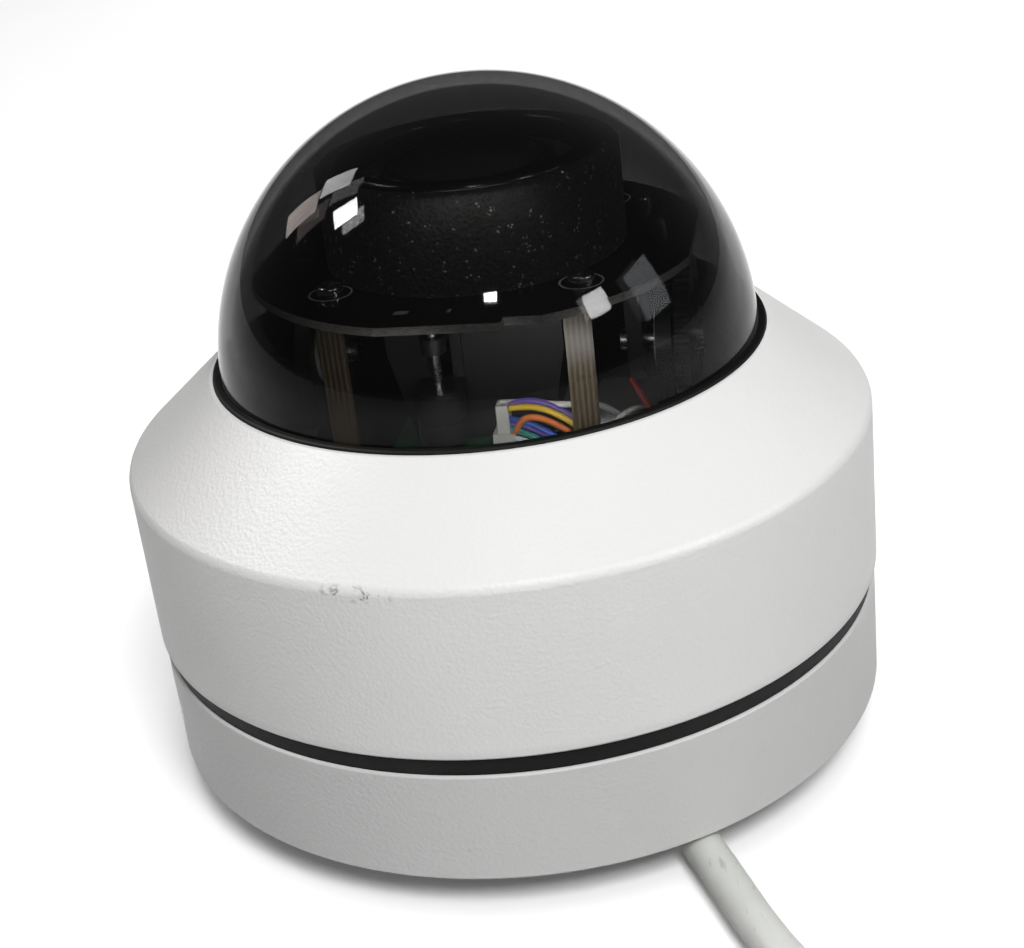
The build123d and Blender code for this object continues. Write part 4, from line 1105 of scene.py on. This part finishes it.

# %% [markdown]
# A loom of coloured wires leaves the plug to the right and goes down to the turntable behind the
# ribbon. Each wire is a round curve through a few points.

# %% Loom
WIRE_R = 0.62 * MM
wire_paints = {
    "yellow": (0.80, 0.55, 0.03), "orange": (0.75, 0.20, 0.03), "blue": (0.03, 0.09, 0.42),
    "purple": (0.16, 0.09, 0.42), "teal": (0.03, 0.27, 0.22), "white": (0.72, 0.74, 0.78),
    "pale": (0.78, 0.78, 0.76), "red": (0.45, 0.02, 0.02), "grey": (0.32, 0.32, 0.30),
}
loom = [
    ("yellow", [(6.4, -21.2, -4.6), (9.5, -21.6, -4.0), (14.0, -23.0, -3.6), (20.5, -25.2, -7.0),
                (26.0, -25.0, -12.0), (31.0, -15.0, -24.0), (30.0, -8.0, -43.0)]),
    ("orange", [(6.4, -21.8, -9.6), (8.2, -22.6, -9.2), (8.6, -23.0, -6.0), (12.5, -23.6, -5.0),
                (18.0, -24.8, -7.6), (25.0, -24.0, -13.5), (30.0, -15.0, -26.0), (29.0, -9.0, -43.0)]),
    ("purple", [(6.4, -20.4, -4.4), (9.5, -20.6, -3.0), (13.5, -21.2, -3.2), (19.0, -23.0, -6.0),
                (26.0, -22.0, -11.0), (30.5, -12.0, -24.0), (28.0, -10.0, -43.0)]),
    ("blue", [(6.4, -21.8, -6.4), (9.5, -22.6, -6.4), (14.0, -24.0, -8.0), (21.0, -26.0, -12.0),
              (27.0, -25.0, -17.0), (30.0, -16.0, -28.0), (27.0, -11.0, -43.0)]),
    ("purple", [(6.4, -21.6, -7.4), (9.5, -22.4, -7.2), (14.0, -23.6, -9.0), (21.0, -25.6, -13.2),
                (27.0, -24.4, -18.0), (29.6, -16.0, -29.0), (27.6, -12.0, -43.0)]),
    ("teal", [(6.4, -21.8, -8.4), (10.7, -23.6, -8.6), (15.0, -24.8, -11.0), (21.7, -26.6, -15.2),
              (27.0, -25.0, -20.0), (29.0, -17.0, -30.0), (26.0, -12.0, -43.0)]),
    ("white", [(6.4, -22.0, -10.4), (9.2, -23.6, -9.4), (14.0, -25.2, -12.2), (20.9, -27.0, -16.4),
               (26.5, -25.6, -21.0), (28.0, -18.0, -31.0), (25.0, -13.0, -43.0)]),
    ("pale", [(6.4, -20.0, -3.9), (10.0, -20.4, -3.6), (15.8, -21.4, -4.2), (20.5, -22.2, -3.6),
              (27.0, -20.0, -5.0), (31.5, -10.0, -20.0), (29.0, -6.0, -43.0)]),
    ("red", [(36.0, -16.0, -43.0), (37.0, -18.0, -34.0), (37.5, -17.0, -24.0), (34.0, -12.0, -14.0),
             (28.0, -6.0, -6.0)]),
    ("grey", [(24.0, -30.2, -14.0), (25.2, -30.8, -8.0), (27.5, -30.6, -3.4), (31.5, -29.0, -1.6),
              (33.0, -24.0, -4.0), (30.0, -16.0, -10.0)]),
]
wires = {}
for tint, points in loom:
    wires.setdefault(tint, []).append(wire("wire_" + tint, [Vector(p) * MM for p in points], WIRE_R))
for tint, made in wires.items():
    piece = join_into("wire_" + tint, made)
    turn_with_head(piece)
    face_out(piece)
    shade(piece, 60)
    paint(piece, insulation("wire_" + tint, wire_paints[tint]))
    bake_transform(piece)
print("wires", len(wires))

# %% [markdown]
# ## Laying the lead
# The lead stands for the engineering cable and for the plain ring that holds its coil. Its socket and
# the ribbed collar lie on the floor beside the coil.

# %% Lead is painted and attached
paint(lead, finishes["cable_jacket"])
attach(lead, "housing")
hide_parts("network_cable", "cable_coil")


def spline_length(curve_object):
    """Length of the lead along its own curve, measured on a copy with no thickness."""
    bare = curve_object.data.copy()
    bare.bevel_depth = 0
    holder = bpy.data.objects.new("measure", bare)
    bpy.context.scene.collection.objects.link(holder)
    mesh = bpy.data.meshes.new_from_object(holder.evaluated_get(bpy.context.evaluated_depsgraph_get()))
    total = sum((mesh.vertices[e.vertices[0]].co - mesh.vertices[e.vertices[1]].co).length for e in mesh.edges)
    bpy.data.objects.remove(holder)
    return total


lead_length = spline_length(lead)
print("lead length", round(lead_length, 4))

# %% [markdown]
# ## Lamps that light only some pieces
# Light that has gone through the smoked wall twice is too weak to show what is inside. Two long lamps
# stand just inside the dome, and a soft sun is for the floor alone. Light linking gives each lamp a
# collection of the pieces it lights, so none of it spills on the white shell.

# %% Linked lamps
outside = {"housing_shell", "floor", "smoked_dome_shell", "gasket_ring", "seal_ring", "network_lead",
           "mounting_base", "mounting_bracket", "lock_screw", "network_socket", "socket_nut", "cable_boot"}


def light_only(item, name, members):
    group = bpy.data.collections.new(name)
    for member in members:
        group.objects.link(member)
    item.light_linking.receiver_collection = group


behind_dome = [o for o in bpy.data.objects if o.type == "MESH" and o.name not in outside]
inside_low = lamp("inside_low", (0.0, -0.0470, 0.088), (0, 0, 0.070), 0.060, 0.030, size_y=0.008)
inside_high = lamp("inside_high", (0.0, -0.0330, 0.1200), (0, 0.01, 0.1010), 0.030, 0.004, size_y=0.003)
floor_sun = bpy.data.objects.new("floor_sun", bpy.data.lights.new("floor_sun", "SUN"))
floor_sun.data.energy = 1.3
floor_sun.data.angle = math.radians(80)
bpy.context.scene.collection.objects.link(floor_sun)
light_only(inside_low, "behind_dome_low", behind_dome)
light_only(inside_high, "behind_dome_high", behind_dome)
light_only(floor_sun, "floor_only", [floor])
inside_low.visible_camera = False
inside_high.visible_camera = False
print("pieces behind the dome", len(behind_dome))

# %% Finish
for scene_object in list(bpy.data.objects):
    scene_object.select_set(False)
